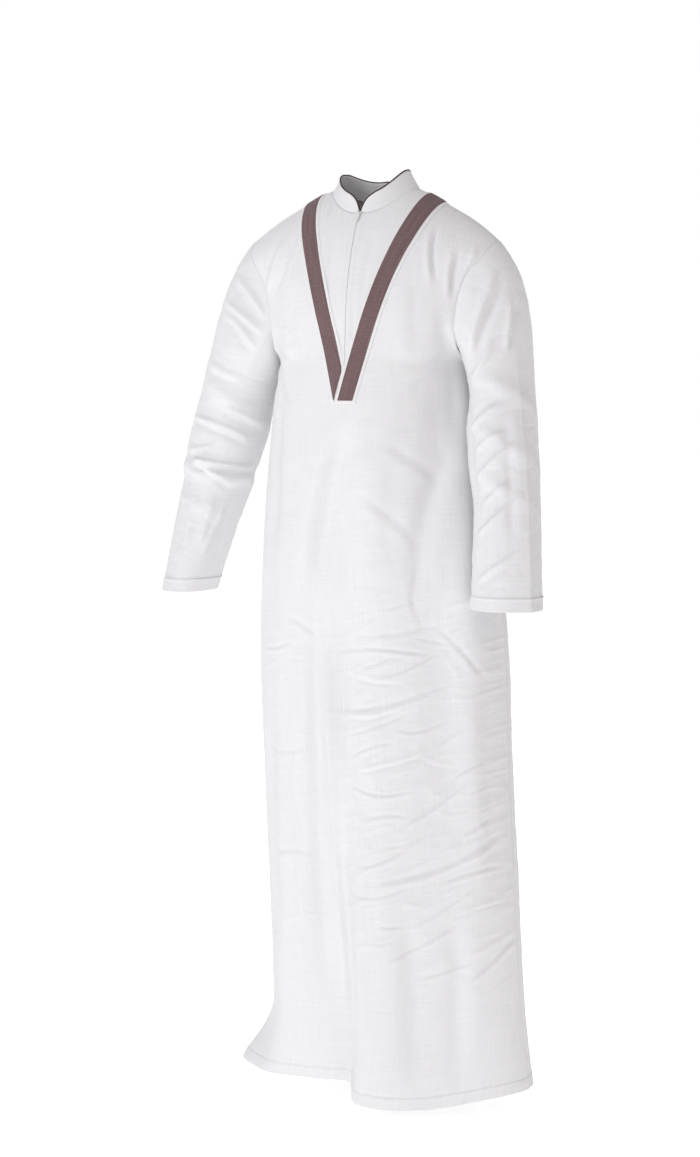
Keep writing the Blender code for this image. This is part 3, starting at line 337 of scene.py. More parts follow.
BACK_CREASES = [
    # start x, z  through x, z end x, z     width   out beside
    (  90,  -120,  100,  -250,   70,  -420, 15.0,  -6.0,  0.5),
    ( -95,  -110, -100,  -260,  -80,  -430, 15.0,  -6.0,  0.5),
    ( 150,  -200,  120,  -330,  110,  -520, 13.0,  -7.5, -0.4),
    (-152,  -200, -125,  -330, -110,  -500, 13.0,  -7.5,  0.4),
    (  10,  -240,    4,  -360,   12,  -520, 18.0,  -4.5,  0.4),
    ( -60,  -500,  -72,  -800,  -60, -1150, 16.0,  -6.7,  0.5),
    (  80,  -520,   88,  -850,   96, -1200, 16.0,  -6.7, -0.5),
    ( 170,  -600,  180,  -900,  176, -1250, 13.0,  -6.0,  0.5),
    (-160,  -620, -165,  -950, -155, -1300, 13.0,  -6.0,  0.5),
    (  20, -1000,   30, -1200,   24, -1460, 15.0,  -6.7,  0.5),
    (-110, -1050, -118, -1250, -110, -1460, 14.0,  -6.0,  0.5),
    ( 135, -1100,  140, -1280,  146, -1465, 14.0,  -6.7,  0.4),
    (-165,   -85, -150,  -140, -158,  -200,  5.5,  -3.9,  0.6),
    ( 160,   -90,  150,  -150,  152,  -205,  5.5,  -3.9,  0.6),
    (-150,  -250, -105,  -268,  -60,  -262,  6.5,  -2.0,  0.6),
    ( 152,  -235,  112,  -276,   58,  -300,  7.0,  -2.4,  0.6),
    ( -20,  -645,   30,  -668,   88,  -670,  5.0,  -1.2,  0.6),
    (-156,  -707,  -85,  -716,   -2,  -691,  3.4,  -2.2,  0.7),
    (  45,  -732,  118,  -722,  183,  -684,  4.3,  -1.9,  0.7),
    ( -58,  -764,  -12,  -760,   22,  -739,  3.6,  -1.8, -0.7),
    (-183,  -806, -128,  -781,  -68,  -780,  3.0,  -1.3,  0.7),
    (   0,  -798,   52,  -798,  130,  -818,  3.6,  -2.0,  0.7),
    ( 120,  -849,  152,  -832,  196,  -803,  4.0,  -1.7,  0.7),
    (-113,  -853,  -50,  -872,   -2,  -867,  2.7,  -1.6,  0.7),
    (  17,  -916,   64,  -894,  100,  -887,  2.9,  -1.0, -0.7),
    (-178,  -923, -150,  -926, -112,  -912,  4.0,  -2.0,  0.7),
    ( -39,  -972,   12,  -992,   54,  -993,  2.7,  -1.2,  0.7),
    ( 117, -1009,  165,  -990,  217,  -951,  3.7,  -2.1,  0.7),
    (-135, -1048,  -96, -1060,  -52, -1052,  4.2,  -1.2,  0.7),
    (  46, -1128,  118, -1098,  181, -1077,  3.0,  -1.8, -0.7),
    (-182, -1174, -140, -1176, -104, -1163,  3.1,  -1.2,  0.7),
    ( 150, -1198,  186, -1196,  222, -1186,  4.0,  -1.9,  0.7),
    (-158,  -262, -125,  -300,  -80,  -360,  9.0,  -4.5,  0.5),
    (-150,  -285, -128,  -345, -112,  -430, 10.0,  -4.0,  0.5),
    ( 155,  -258,  120,  -292,   70,  -335,  8.5,  -4.2,  0.5),
    ( 150,  -290,  130,  -350,  124,  -450, 10.0,  -4.5,  0.5),
]


print(len(FRONT_CREASES), "creases in front,", len(BACK_CREASES), "behind")

# %% How a crease moves the cloth
PATH_STEPS = 8                       # straight steps that follow a crease's bent line
FADE_SHARE = 0.3                     # share of a crease over which each end fades
RIDGE_AWAY, RIDGE_WIDTH = 1.7, 1.2   # where the ridge lies and how wide it is, in widths of the trough


def crease_offset(across, up, creases):
    """How far all the creases of a table move the cloth out at each place (across, up)."""
    total = np.zeros(across.shape)
    for *sizes, beside in creases:
        x0, z0, x1, z1, x2, z2, width, out = (size / 1000 for size in sizes)
        reach = 4 * width
        near = ((across > min(x0, x1, x2) - reach) & (across < max(x0, x1, x2) + reach)
                & (up > min(z0, z1, z2) - reach) & (up < max(z0, z1, z2) + reach))
        if not near.any():
            continue
        x, z = across[near], up[near]
        best, signed, share = np.full(x.shape, 9.0), np.zeros(x.shape), np.zeros(x.shape)
        t = np.linspace(0, 1, PATH_STEPS + 1)
        path_x, path_z = (start * (1 - t) * (1 - 2 * t) + through_it * 4 * t * (1 - t) + end * t * (2 * t - 1)
                          for start, through_it, end in ((x0, x1, x2), (z0, z1, z2)))
        for k in range(PATH_STEPS):
            dx, dz = path_x[k + 1] - path_x[k], path_z[k + 1] - path_z[k]
            length = np.hypot(dx, dz)
            along = np.clip(((x - path_x[k]) * dx + (z - path_z[k]) * dz) / length**2, 0, 1)
            far = np.hypot(x - path_x[k] - along * dx, z - path_z[k] - along * dz)
            side = ((x - path_x[k]) * dz - (z - path_z[k]) * dx) / length
            closer = far < best
            best = np.where(closer, far, best)
            signed = np.where(closer, np.where(side < 0, -far, far), signed)
            share = np.where(closer, (k + along) / PATH_STEPS, share)
        ends = smooth_step(share / FADE_SHARE) * smooth_step((1 - share) / FADE_SHARE)
        trough = np.exp(-((signed / width) ** 2))
        away = signed - np.sign(beside) * RIDGE_AWAY * width
        ridge = abs(beside) * np.exp(-(away / (RIDGE_WIDTH * width)) ** 2)
        total[near] += out * ends * (trough - ridge)
    return total


at_middle = crease_offset(np.array([-0.03]), np.array([-0.5]), FRONT_CREASES[:1])
print("the first crease moves the cloth", round(float(at_middle[0]), 4), "m at its middle")

# %% [markdown]
# Between the creases cloth is never quite even. A small lattice noise gives it a slow waviness and, folded
# into sharp lines, the faint crumples of cotton that has been worn for an hour. Blender has noise textures
# for this, but moving the points themselves makes the outline and the shadows uneven too.

# %% Waviness and faint crumples


HASH = (127.1, 311.7, 74.7, 43758.5453)    # large uneven numbers that scatter the lattice's values


def lattice_noise(x, z, seed):
    """Smooth values from -1 to 1 that change over a length of about 1."""
    cell_x, cell_z = np.floor(x), np.floor(z)
    part_x, part_z = smooth_step(x - cell_x), smooth_step(z - cell_z)

    def corner(i, j):
        value = np.sin((cell_x + i) * HASH[0] + (cell_z + j) * HASH[1] + seed * HASH[2]) * HASH[3]
        return (value - np.floor(value)) * 2 - 1

    low = corner(0, 0) * (1 - part_x) + corner(1, 0) * part_x
    high = corner(0, 1) * (1 - part_x) + corner(1, 1) * part_x
    return low * (1 - part_z) + high * part_z


def unevenness(x, z, seed, lean=0.35, wave=0.0011, crumple=0.0007):
    """Slow waves, longer down the cloth than across it, and small sharp lines that lean."""
    slow = lattice_noise(x / 0.060, z / 0.140, seed) + 0.6 * lattice_noise(x / 0.035, z / 0.070, seed + 3)
    along, off = x + lean * z, z - lean * x
    first = 1 - np.abs(lattice_noise(along / 0.050, off / 0.020, seed + 7))
    second = 1 - np.abs(lattice_noise(along / 0.026 + 0.4, off / 0.012, seed + 11))
    return wave * slow + crumple * (first**4 + 0.5 * second**4)


CRUMPLED = {
    "z": [-1.48, -1.30, -1.05, -0.80, -0.60, -0.42, -0.20, 0.05],
    "share": [0.3, 0.6, 0.9, 0.9, 0.7, 0.5, 0.3, 0.2],
}
print("crumples grow to", max(CRUMPLED["share"]), "times at the thigh")

# %% [markdown]
# White cotton cloth. Up close it is a plain weave whose threads are uneven, which shows as a faint grid of
# thicker threads, called slubs. The pattern needs coordinates that run along the threads, so each piece
# gets a UV map measured in metres, and noise stretched far along one of the two directions draws the slubs.
# A picture of the cloth would be quicker, but noise stays sharp at any distance and never repeats.

# %% Cloth material


def new_material(name, colour, roughness):
    made = bpy.data.materials.new(name)
    made.use_nodes = True
    shader = made.node_tree.nodes["Principled BSDF"]
    shader.inputs["Base Color"].default_value = (*colour, 1.0)
    shader.inputs["Roughness"].default_value = roughness
    return made, made.node_tree.nodes, made.node_tree.links, shader


def stretched_noise(nodes, links, uv, across, along, detail=2.0):
    """Noise with its own scale in each of the two thread directions, in 1 / metre."""
    mapping = nodes.new("ShaderNodeMapping")
    mapping.inputs["Scale"].default_value = (across, along, 1.0)
    noise = nodes.new("ShaderNodeTexNoise")
    noise.inputs["Scale"].default_value = 1.0
    noise.inputs["Detail"].default_value = detail
    links.new(uv.outputs["UV"], mapping.inputs["Vector"])
    links.new(mapping.outputs["Vector"], noise.inputs["Vector"])
    return noise.outputs["Fac"]


def arithmetic(nodes, links, operation, first, second):
    made = nodes.new("ShaderNodeMath")
    made.operation = operation
    for socket, value in zip(made.inputs, (first, second)):
        if isinstance(value, (int, float)):
            socket.default_value = value
        else:
            links.new(value, socket)
    return made.outputs["Value"]


def add_bump(nodes, links, shader, height, distance, strength=1.0):
    """Lets a height bend how the light falls, as relief of a small depth does."""
    bump = nodes.new("ShaderNodeBump")
    bump.inputs["Strength"].default_value = strength
    bump.inputs["Distance"].default_value = distance
    links.new(height, bump.inputs["Height"])
    links.new(bump.outputs["Normal"], shader.inputs["Normal"])


SLUB_FINE, SLUB_LONG = 900.0, 14.0    # how often slubs change across and along the threads, in 1 / metre


def woven(name, thin, thick, roughness, sheen, slub_strength, thread=0.00042):
    """A plain weave: two colours between thin and thick threads, and a bump of threads and slubs."""
    made, nodes, links, shader = new_material(name, thin, roughness)
    shader.inputs["Sheen Weight"].default_value = sheen
    shader.inputs["Sheen Roughness"].default_value = 0.5
    shader.inputs["Specular IOR Level"].default_value = 0.25
    uv = nodes.new("ShaderNodeUVMap")
    down = stretched_noise(nodes, links, uv, SLUB_FINE, SLUB_LONG)
    across = stretched_noise(nodes, links, uv, SLUB_LONG, SLUB_FINE)
    slubs = arithmetic(nodes, links, "ADD", down, across)
    ramp = nodes.new("ShaderNodeValToRGB")
    for stop, position, colour in zip(ramp.color_ramp.elements, (0.38, 0.64), (thin, thick)):
        stop.position, stop.color = position, (*colour, 1.0)
    links.new(arithmetic(nodes, links, "MULTIPLY", slubs, 0.5), ramp.inputs["Fac"])
    links.new(ramp.outputs["Color"], shader.inputs["Base Color"])
    parts = nodes.new("ShaderNodeSeparateXYZ")
    links.new(uv.outputs["UV"], parts.inputs["Vector"])
    turns = 2 * pi / thread
    angles = [arithmetic(nodes, links, "MULTIPLY", parts.outputs[way], turns) for way in ("X", "Y")]
    warp, weft = (arithmetic(nodes, links, "SINE", angle, 0.0) for angle in angles)
    weave = arithmetic(nodes, links, "MULTIPLY", warp, weft)
    height = arithmetic(nodes, links, "ADD", arithmetic(nodes, links, "MULTIPLY", weave, 0.25), slubs)
    add_bump(nodes, links, shader, height, 0.0006, slub_strength)
    return made


WHITE_CLOTH = woven("white_cloth", (0.785, 0.785, 0.80), (0.855, 0.853, 0.862), 0.88, 0.05, 0.35)
EDGING_CLOTH = woven("edging_cloth", (0.84, 0.84, 0.85), (0.885, 0.885, 0.89), 0.86, 0.05, 0.35)
BAND_CLOTH = woven("band_cloth", (0.135, 0.083, 0.087), (0.275, 0.182, 0.190), 0.82, 0.12, 0.7)
# The piping is the bands' brown cloth; its colours are darker than theirs as painted shade for the shadow
# along the thin cord.
PIPING_SHADED_CLOTH = woven("piping_cloth_painted_shade", (0.040, 0.014, 0.013), (0.085, 0.034, 0.031), 0.8, 0.1, 0.5)
TAPE_CLOTH = woven("tape_cloth", (0.74, 0.74, 0.76), (0.82, 0.82, 0.84), 0.85, 0.05, 0.6, thread=0.0006)
print("made", [m.name for m in (WHITE_CLOTH, EDGING_CLOTH, BAND_CLOTH, PIPING_SHADED_CLOTH, TAPE_CLOTH)])

# %% [markdown]
# From a grid of points to cloth. Blender's cloth is a mesh of small four-sided faces. Each sheet here is
# one grid, and the UV map is measured along it, so the threads keep their size everywhere. A raw edge would
# look like paper, so an edge that a maker turns gets extra rows that roll round and run back up behind the
# cloth.

# %% Sheets from grids


def grid_normals(points, closed=False):
    """Unit normals of a grid whose rows go up and whose columns go to the right, seen from outside."""
    if closed:
        across = np.roll(points, -1, axis=1) - np.roll(points, 1, axis=1)
    else:
        across = np.gradient(points, axis=1)
    normal = np.cross(across, np.gradient(points, axis=0))
    return normal / (np.linalg.norm(normal, axis=-1, keepdims=True) + 1e-12)


def lengths_along(points, axis):
    """Distance run along each line of a grid, from its first point."""
    step = np.linalg.norm(np.diff(points, axis=axis), axis=-1)
    start = np.zeros((1, points.shape[1]) if axis == 0 else (points.shape[0], 1))
    return np.concatenate([start, np.cumsum(step, axis=axis)], axis=axis)


def corners(grid):
    """What a grid holds at the four corners of each of its faces."""
    return np.stack([grid[:-1, :-1], grid[:-1, 1:], grid[1:, 1:], grid[1:, :-1]], axis=2)


def ring_faces(rows, columns, closed=True):
    """The faces of a grid, as places in its list of points."""
    index = np.arange(rows * columns).reshape(rows, columns)
    if closed:
        index = np.concatenate([index, index[:, :1]], axis=1)
    return corners(index).reshape(-1, 4)


def add_piece(name, points, faces, material, smooth=True):
    """A mesh of points and faces in the scene, with one material."""
    mesh = bpy.data.meshes.new(name)
    mesh.from_pydata(points, [], faces)
    mesh.materials.append(material)
    if smooth:
        mesh.shade_smooth()
    made = bpy.data.objects.new(name, mesh)
    bpy.context.scene.collection.objects.link(made)
    return made


GRIDS = {}     # the grid of points that each sheet was made from


def sheet_object(name, points, material, closed=False, cut_away=None, flat=None):
    """A mesh of four-sided faces through a grid of points, with threads along its rows and columns.

    cut_away marks points to leave out. A face that loses one corner stays as a triangle. flat is the same
    grid without its creases, along which the threads are measured so that they run straight.
    """
    GRIDS[name] = points
    faces = ring_faces(*points.shape[:2], closed)
    wide = points if flat is None else flat
    if closed:
        wide = np.concatenate([wide, wide[:, :1]], axis=1)
    middle = wide.shape[1] // 2
    u = lengths_along(wide, 1)
    u = u - u[:, middle:middle + 1]
    corner_uv = corners(np.stack([u, lengths_along(wide, 0)], axis=-1)).reshape(-1, 4, 2)
    made_from, keep = points.reshape(-1, 3), np.ones((len(faces), 4), bool)
    if cut_away is not None:
        keep = ~cut_away.reshape(-1)[faces]
        whole = keep.sum(axis=1) >= 3
        faces, corner_uv, keep = faces[whole], corner_uv[whole], keep[whole]
        used = np.zeros(len(made_from), bool)
        used[faces[keep]] = True
        faces, made_from = (np.cumsum(used) - 1)[faces], made_from[used]
    made = add_piece(name, made_from.tolist(), [f[k].tolist() for f, k in zip(faces, keep)], material)
    made.data.uv_layers.new(name="threads").data.foreach_set("uv", corner_uv[keep].ravel())
    return made


def rows_within(points, depth):
    """How many rows of a grid lie within a height of its first one."""
    return max(2, int(np.searchsorted(points[..., 2].mean(axis=1) - points[0, :, 2].mean(), depth)))


def roll_under(points, normals, count, gap=0.0011, radius=0.0005):
    """Adds rows below the first one that turn round and run back behind the cloth for count rows."""
    down = unit(points[0] - points[1])
    back = (points[1:count + 1] - normals[1:count + 1] * gap)[::-1]
    turn = np.array([
        points[0] - normals[0] * gap + down * radius * 0.3,
        points[0] - normals[0] * gap * 0.5 + down * radius,
        points[0] - normals[0] * gap * 0.12 + down * radius * 0.6,
    ])
    made = np.concatenate([back, turn, points])
    added = np.concatenate([normals[1:count + 1][::-1], np.repeat(normals[:1], 3, axis=0), normals])
    return made, added


def dip_edges(points, normals, depth=0.0022):
    """Adds a line of points behind both sides and the top, so that a seam is a soft groove, not a gap."""
    points = np.concatenate([points, points[-1:] - normals[-1:] * depth])
    normals = np.concatenate([normals, normals[-1:]])
    first, last = (points[:, edge] - normals[:, edge] * depth for edge in (slice(None, 1), slice(-1, None)))
    return np.concatenate([first, points, last], axis=1)


def groove(normals, distance, width=0.0030, depth=0.0007):
    """How a panel's face dips where a seam pulls it in, by distance from the seam."""
    return -normals * (depth * np.exp(-(distance / width) ** 2))[..., None]


print("helpers for sheets are ready")

# %% [markdown]
# The front and back panels. On the real robe each is one length from shoulder to hem, and the front has a
# deep V cut out of its top. The front's points nearest to the V move onto it, and what lies between them is
# left out. Every point takes its place on the form and then moves out by the creases, the waviness and the
# crumples, which die away near a seam, because two layers sewn together stay flatter than one. The hem is
# turned up 22 mm behind.

# %% Where the V and the neckline run
V_LINE = {
    "z": [-0.335, -0.250, -0.195, -0.147, -0.100, -0.055, -0.006],
    "x": [0.0035, 0.0255, 0.0415, 0.0565, 0.0725, 0.0895, 0.1060],
}
V_TIP_Z = -0.335
NECK_X, NECK_FRONT, NECK_BACK = 0.073, 0.077, 0.049
ARMPIT_Q = (ARMPIT_Z - HEM_Z) / (CAP_Z - HEM_Z)
SEAM_U = 0.9994


def v_x(z):
    return through(V_LINE["z"], V_LINE["x"], z)


def v_height(q):
    """Height of the V line where it crosses q."""
    low, high = V_TIP_Z, 0.0
    for _ in range(40):
        middle = (low + high) / 2
        low, high = (middle, high) if q_of(v_x(middle), middle) < q else (low, middle)
    return low


def neck_q(side, x):
    """q of the neckline, an oval seen from above, at distance x from the middle."""
    reach = NECK_FRONT if side == FRONT else NECK_BACK
    wanted = side * reach * np.sqrt(1 - np.clip(np.abs(x) / NECK_X, 0, 1) ** 2)
    top_y = through(SHOULDER["x"], SHOULDER["y"], np.abs(x))
    q = 1.5 + 0 * x
    for _ in range(8):
        level_y = surface(side, u_of(x, q), 1.0)[..., 1]
        q = 1 + np.arccos(np.clip(wanted / (level_y - top_y), 0, 1) ** (CAP_POWER / 2)) / (pi / 2)
    return q


V_Q = np.concatenate([np.linspace(float(q_of(0.0, V_TIP_Z)), 1.0, 16)[:-1], np.linspace(1.0, 2.0, 40)])
V_Z = np.array([v_height(q) for q in V_Q])
V_U = u_of(v_x(V_Z), V_Q)
print("the V runs from", round(float(V_Z[0]), 3), "to", round(float(V_Z[-1]), 3), "m")

# %% Front and back panels


HEM_DIP = 0.020                          # how much lower the hem hangs in front of the left knee
HEM_TURN, CUFF_TURN = 0.022, 0.020       # how far the hem and the cuffs are turned up behind
ROW_Z = (-1.454, -1.270, -0.660)         # heights at which the spacing of a panel's rows changes
METRES_ACROSS, METRES_UP = 0.2, 0.15     # rough sizes of u = 1 and of q = 1 above the chest
SEAM_CALM, TOP_CALM = 0.014, 0.020       # how far creases die away from a side seam and from the top


def hem_dip(side, u, q):
    near = np.exp(-(((u - 0.22) / 0.34) ** 2)) if side == FRONT else 0.0 * u
    return HEM_DIP * near * np.clip(1 - q / 0.45, 0, 1) ** 2 * smooth_step((u + 0.16) / 0.14)


def height_q(z):
    return (z - HEM_Z) / (CAP_Z - HEM_Z)


def panel_rows(hem, low, thigh, waist, pit, cap):
    """q of a panel's level rows, closest together at the thigh, where the cloth is most crumpled."""
    stops = [0.0, *(height_q(z) for z in ROW_Z), ARMPIT_Q, 1.0]
    counts = (hem, low, thigh, waist, pit)
    rows = [np.linspace(stops[k], stops[k + 1], count + 1)[:-1] for k, count in enumerate(counts)]
    return np.concatenate([*rows, np.linspace(1.0, 2.0, cap + 1)])[:, None]


def hem_step(above, depth=0.021):
    """A turned hem is two layers: it stands out a little, and its row of stitches pulls in a fine groove."""
    return 0.0005 * smooth_step((depth - above) / 0.002) - 0.0005 * np.exp(-(((above - depth) / 0.0016) ** 2))


def creased(side, u, q, creases, seed, calm):
    """Points of the form moved out by the creases and the unevenness, times calm, which is 0 at a seam."""
    points, normals = surface(side, u, q), outward(side, u, q)
    x, z = points[..., 0], points[..., 2]
    share = through(CRUMPLED["z"], CRUMPLED["share"], z)
    share = share * np.where(side == FRONT, 0.45 + 0.55 * smooth_step((x + 0.12) / 0.16), 0.8)
    out = crease_offset(x, z, creases) + unevenness(x * 1.15, z, 5 + side, crumple=0.0012) * share
    points = points + normals * (out * calm + hem_step(z - HEM_Z))[..., None]
    points[..., 2] -= hem_dip(side, u, q)
    return points, normals


def finish_panel(points, flat, normals):
    """Turns the hem up behind a panel and dips its other edges, in its points and in its uncreased form."""
    turned = rows_within(points, HEM_TURN)
    return (dip_edges(*roll_under(grid, normals, turned)) for grid in (points, flat))


def front_panel():
    columns = np.linspace(-SEAM_U, SEAM_U, 191)
    q = panel_rows(20, 48, 240, 88, 20, 58) + 0 * columns
    u = columns + 0 * q
    flat = surface(FRONT, u, q)
    # In each row the two columns nearest to the V move onto it, and what lies between them is cut away.
    inside = np.zeros(q.shape, bool)
    for row in np.flatnonzero(q[:, 0] > V_Q[0]):
        edge = np.interp(q[row, 0], V_Q, V_U)
        right, left = np.argmin(np.abs(columns + edge)), np.argmin(np.abs(columns - edge))
        u[row, right], u[row, left] = -edge, edge
        inside[row, right + 1:left] = True
    place = surface(FRONT, u, q)
    from_side, from_top = (1 - np.abs(u)) * METRES_ACROSS, np.where(q > 1, (2 - q) * METRES_UP, 1.0)
    from_v = np.where(place[..., 2] > V_TIP_Z - 0.02, np.abs(np.abs(place[..., 0]) - v_x(place[..., 2])), 1.0)
    calm = smooth_step(from_side / SEAM_CALM) * (0.1 + 0.9 * smooth_step((from_v - 0.008) / 0.03))
    calm = calm * smooth_step(from_top / TOP_CALM)
    points, normals = creased(FRONT, u, q, FRONT_CREASES, 5, calm)
    points = points + groove(normals, from_side) + groove(normals, from_top)
    hemmed, flat = finish_panel(points, flat, normals)
    cut_away = np.zeros(hemmed.shape[:2], bool)
    cut_away[-1 - len(inside):-1, 1:-1] = inside
    cut_away[-1, 1:-1] = inside[-1]
    return sheet_object("front_cloth", hemmed, WHITE_CLOTH, cut_away=cut_away, flat=flat)


def back_top(u):
    """q where a column of the back panel ends, at the neckline or on the shoulder."""
    if abs(surface(BACK, u, 2.0)[0]) >= NECK_X:
        return 2.0
    low, high = 1.0, 2.0
    for _ in range(40):
        middle = (low + high) / 2
        low, high = (middle, high) if middle < neck_q(BACK, surface(BACK, u, middle)[0]) else (low, middle)
    return low


def back_panel():
    columns = np.linspace(-SEAM_U, SEAM_U, 150)
    tops = np.array([back_top(u) for u in columns])
    q = panel_rows(20, 36, 150, 70, 12, 44)
    q = np.minimum(q, 1.0 + (q - 1.0) * (tops - 1.0))
    u = np.broadcast_to(columns, q.shape)
    from_side, from_top = (1 - np.abs(u)) * METRES_ACROSS, np.where(q > 1, (tops - q) * METRES_UP, 1.0)
    calm = smooth_step(from_side / SEAM_CALM) * smooth_step(from_top / TOP_CALM)
    points, normals = creased(BACK, u, q, BACK_CREASES, 6, calm)
    points = points + groove(normals, from_side) + groove(normals, from_top)
    points, normals, flat = points[:, ::-1], normals[:, ::-1], surface(BACK, u, q)[:, ::-1]
    hemmed, flat = finish_panel(points, flat, normals)
    return sheet_object("back_cloth", hemmed, WHITE_CLOTH, flat=flat)


front_cloth, back_cloth = front_panel(), back_panel()
print("front has", len(front_cloth.data.polygons), "faces and the back", len(back_cloth.data.polygons))

# %% [markdown]
# The chest inset fills the V in two halves that meet at the zip. Each half has a turned edge at the zip
# with a row of stitches 8 mm from it, so that strip stands up a little. At the other side the cloth runs on
# under the band.

# %% Chest inset
ZIP_OPENING, PLACKET = 0.0007, 0.0080    # the gap between the halves, and the turned edge beside it
UNDER_BAND = 0.004        # how far the cloth runs on past the V line
CALM_FROM_LINE = 0.017    # how far from there the creases stop
INSET_CREASES = [
    # start x, z  through x, z end x, z     width   out beside
    ( -54,    -8,  -56,   -26,  -55,   -46,  2.2,  -1.6,  0.6),
    ( -30,   -50,  -36,  -110,  -26,  -180,  7.0,  -1.4,  0.5),
    (  34,   -60,   30,  -120,   22,  -200,  7.0,  -1.4,  0.5),
    (  12,  -180,   14,  -230,    8,  -290,  4.0,  -1.0,  0.5),
    ( -12,  -200,  -10,  -240,   -6,  -300,  4.0,  -0.8,  0.5),
]


def inset(side, name):
    over = np.concatenate([np.linspace(0, 0.2, 12)[:-1], np.linspace(0.2, 1, 34)])[None, :]
    up = np.linspace(0, 1, len(V_Q))[:, None]
    middle_x = ZIP_OPENING / 2
    line_x, line_q = (v_x(V_Z) + UNDER_BAND)[:, None], V_Q[:, None]
    zip_top = neck_q(FRONT, middle_x * side)
    zip_q = line_q[0] + (zip_top - line_q[0]) * (V_Q - V_Q[0])[:, None] / (V_Q[-1] - V_Q[0])
    top_x = middle_x + (line_x[-1] - middle_x) * over
    top_q = np.where(top_x < NECK_X, neck_q(FRONT, top_x * side), 2.0)
    x = middle_x + (line_x - middle_x) * over
    q = zip_q + (line_q - zip_q) * over + (top_q - zip_top - (2.0 - zip_top) * over) * up**3
    u = u_of(x * side, q)
    points, normals = surface(FRONT, u, q), outward(FRONT, u, q)
    calm = smooth_step((line_x - x - CALM_FROM_LINE) / 0.02)
    out = crease_offset(points[..., 0], points[..., 2], INSET_CREASES) * calm
    out = out + unevenness(points[..., 0], points[..., 2], 9, wave=0.0005, crumple=0.0002) * calm
    out = out + 0.0006 * smooth_step((PLACKET + 0.0012 - x) / 0.0012)
    out = out - 0.0012 * smooth_step((x - line_x + 0.008) / 0.006)
    points = points + normals * out[..., None]
    if side == RIGHT:
        points, normals = points[:, ::-1], normals[:, ::-1]
    return sheet_object(name, dip_edges(points, normals, 0.0016), WHITE_CLOTH)


inset_left_cloth, inset_right_cloth = inset(LEFT, "inset_left_cloth"), inset(RIGHT, "inset_right_cloth")
print("inset height", round(inset_left_cloth.dimensions.z, 3), "m")

# %% [markdown]
# The V bands. A white strip is laid over each edge of the V, and a narrower brown one on it, so 5 mm of
# white shows on both sides. Each is a low ribbon whose edges bend down to what it is sewn to. The left arm
# lies over the right one, whose end is cut along it.

# %% White strips and brown bands
BAND_WIDTH, EDGING = 0.025, 0.005
STRIP_LIFT, BAND_LIFT = 0.0015, 0.0027
RIBBON_ROUND, END_ROW = 0.0008, 0.0004    # radius of a ribbon's long edges, and how short its first row is


def strip_edges(side, left_of, right_of, z):
    """x of a strip's two edges beside the V line, with widths measured across the strip."""
    slope = (v_x(z + 0.002) - v_x(z - 0.002)) / 0.004
    spread = np.sqrt(1 + slope**2)
    return side * v_x(z) + left_of * spread, side * v_x(z) + right_of * spread


def quarter_circle(t):
    """Rises from 0 to 1 as a rounded edge does, steeply at first."""
    return np.sqrt(np.clip(1 - (1 - np.clip(t, 0, 1)) ** 2, 0, 1))


def under_left_arm(z):
    return strip_edges(LEFT, -BAND_WIDTH / 2 - EDGING, 0, z)[0] - 0.0004


def ribbon(side, name, half_width, low_z, lift, foot, material, cut=None, inset_by=0.0):
    """A strip along one arm of the V: its face stands lift above the cloth and its edges go down to foot."""
    z = np.concatenate([np.linspace(low_z, V_Z[1], 8)[:-1], V_Z[1:]])
    q = np.concatenate([q_of(side * v_x(z[:7]), z[:7]), V_Q[1:]])
    z = np.concatenate([z[:1], z[:1] + END_ROW, z[1:]])
    q = np.concatenate([q[:1], q[:1] + END_ROW / (CAP_Z - HEM_Z), q[1:]])
    first, last = strip_edges(side, -half_width, half_width, z)
    if cut is not None:
        last = np.maximum(np.minimum(last, cut(z) - inset_by), first + 0.0003)
    over = np.concatenate([[0, 0.012, 0.03], np.linspace(0.06, 0.94, 14), [0.97, 0.988, 1.0]])
    x = first[:, None] + (last - first)[:, None] * over
    edge = np.minimum(over, 1 - over)[None, :] * (last - first)[:, None]
    height = foot + (lift - foot) * quarter_circle(edge / RIBBON_ROUND)
    height[0] = foot
    q = q[:, None] + 0 * x
    u = u_of(x, q)
    points, normals = surface(FRONT, u, q), outward(FRONT, u, q)
    pucker = 0.00016 * lattice_noise(z[:, None] / 0.006 + 0 * x, x / 0.004, 31 + side)
    points = points + normals * (height + pucker * (height > foot + 0.0001))[..., None]
    return sheet_object(name, points, material)


wide, narrow = BAND_WIDTH / 2 + EDGING, BAND_WIDTH / 2
strips = {
    "facing_left": ribbon(LEFT, "strip_left", wide, V_TIP_Z - EDGING, STRIP_LIFT, 0.0002, EDGING_CLOTH),
    "facing_right": ribbon(RIGHT, "strip_right", wide, V_TIP_Z - EDGING, STRIP_LIFT * 0.8, 0.0002,
                           EDGING_CLOTH, under_left_arm),
    "band_left": ribbon(LEFT, "brown_band_left", narrow, V_TIP_Z, BAND_LIFT, 0.0012, BAND_CLOTH),
    "band_right": ribbon(RIGHT, "brown_band_right", narrow, V_TIP_Z, BAND_LIFT * 0.85, 0.0009, BAND_CLOTH,
                         under_left_arm, 0.0008),
}
print("bands", round(BAND_WIDTH * 1000), "mm wide with", round(EDGING * 1000), "mm of white beside them")
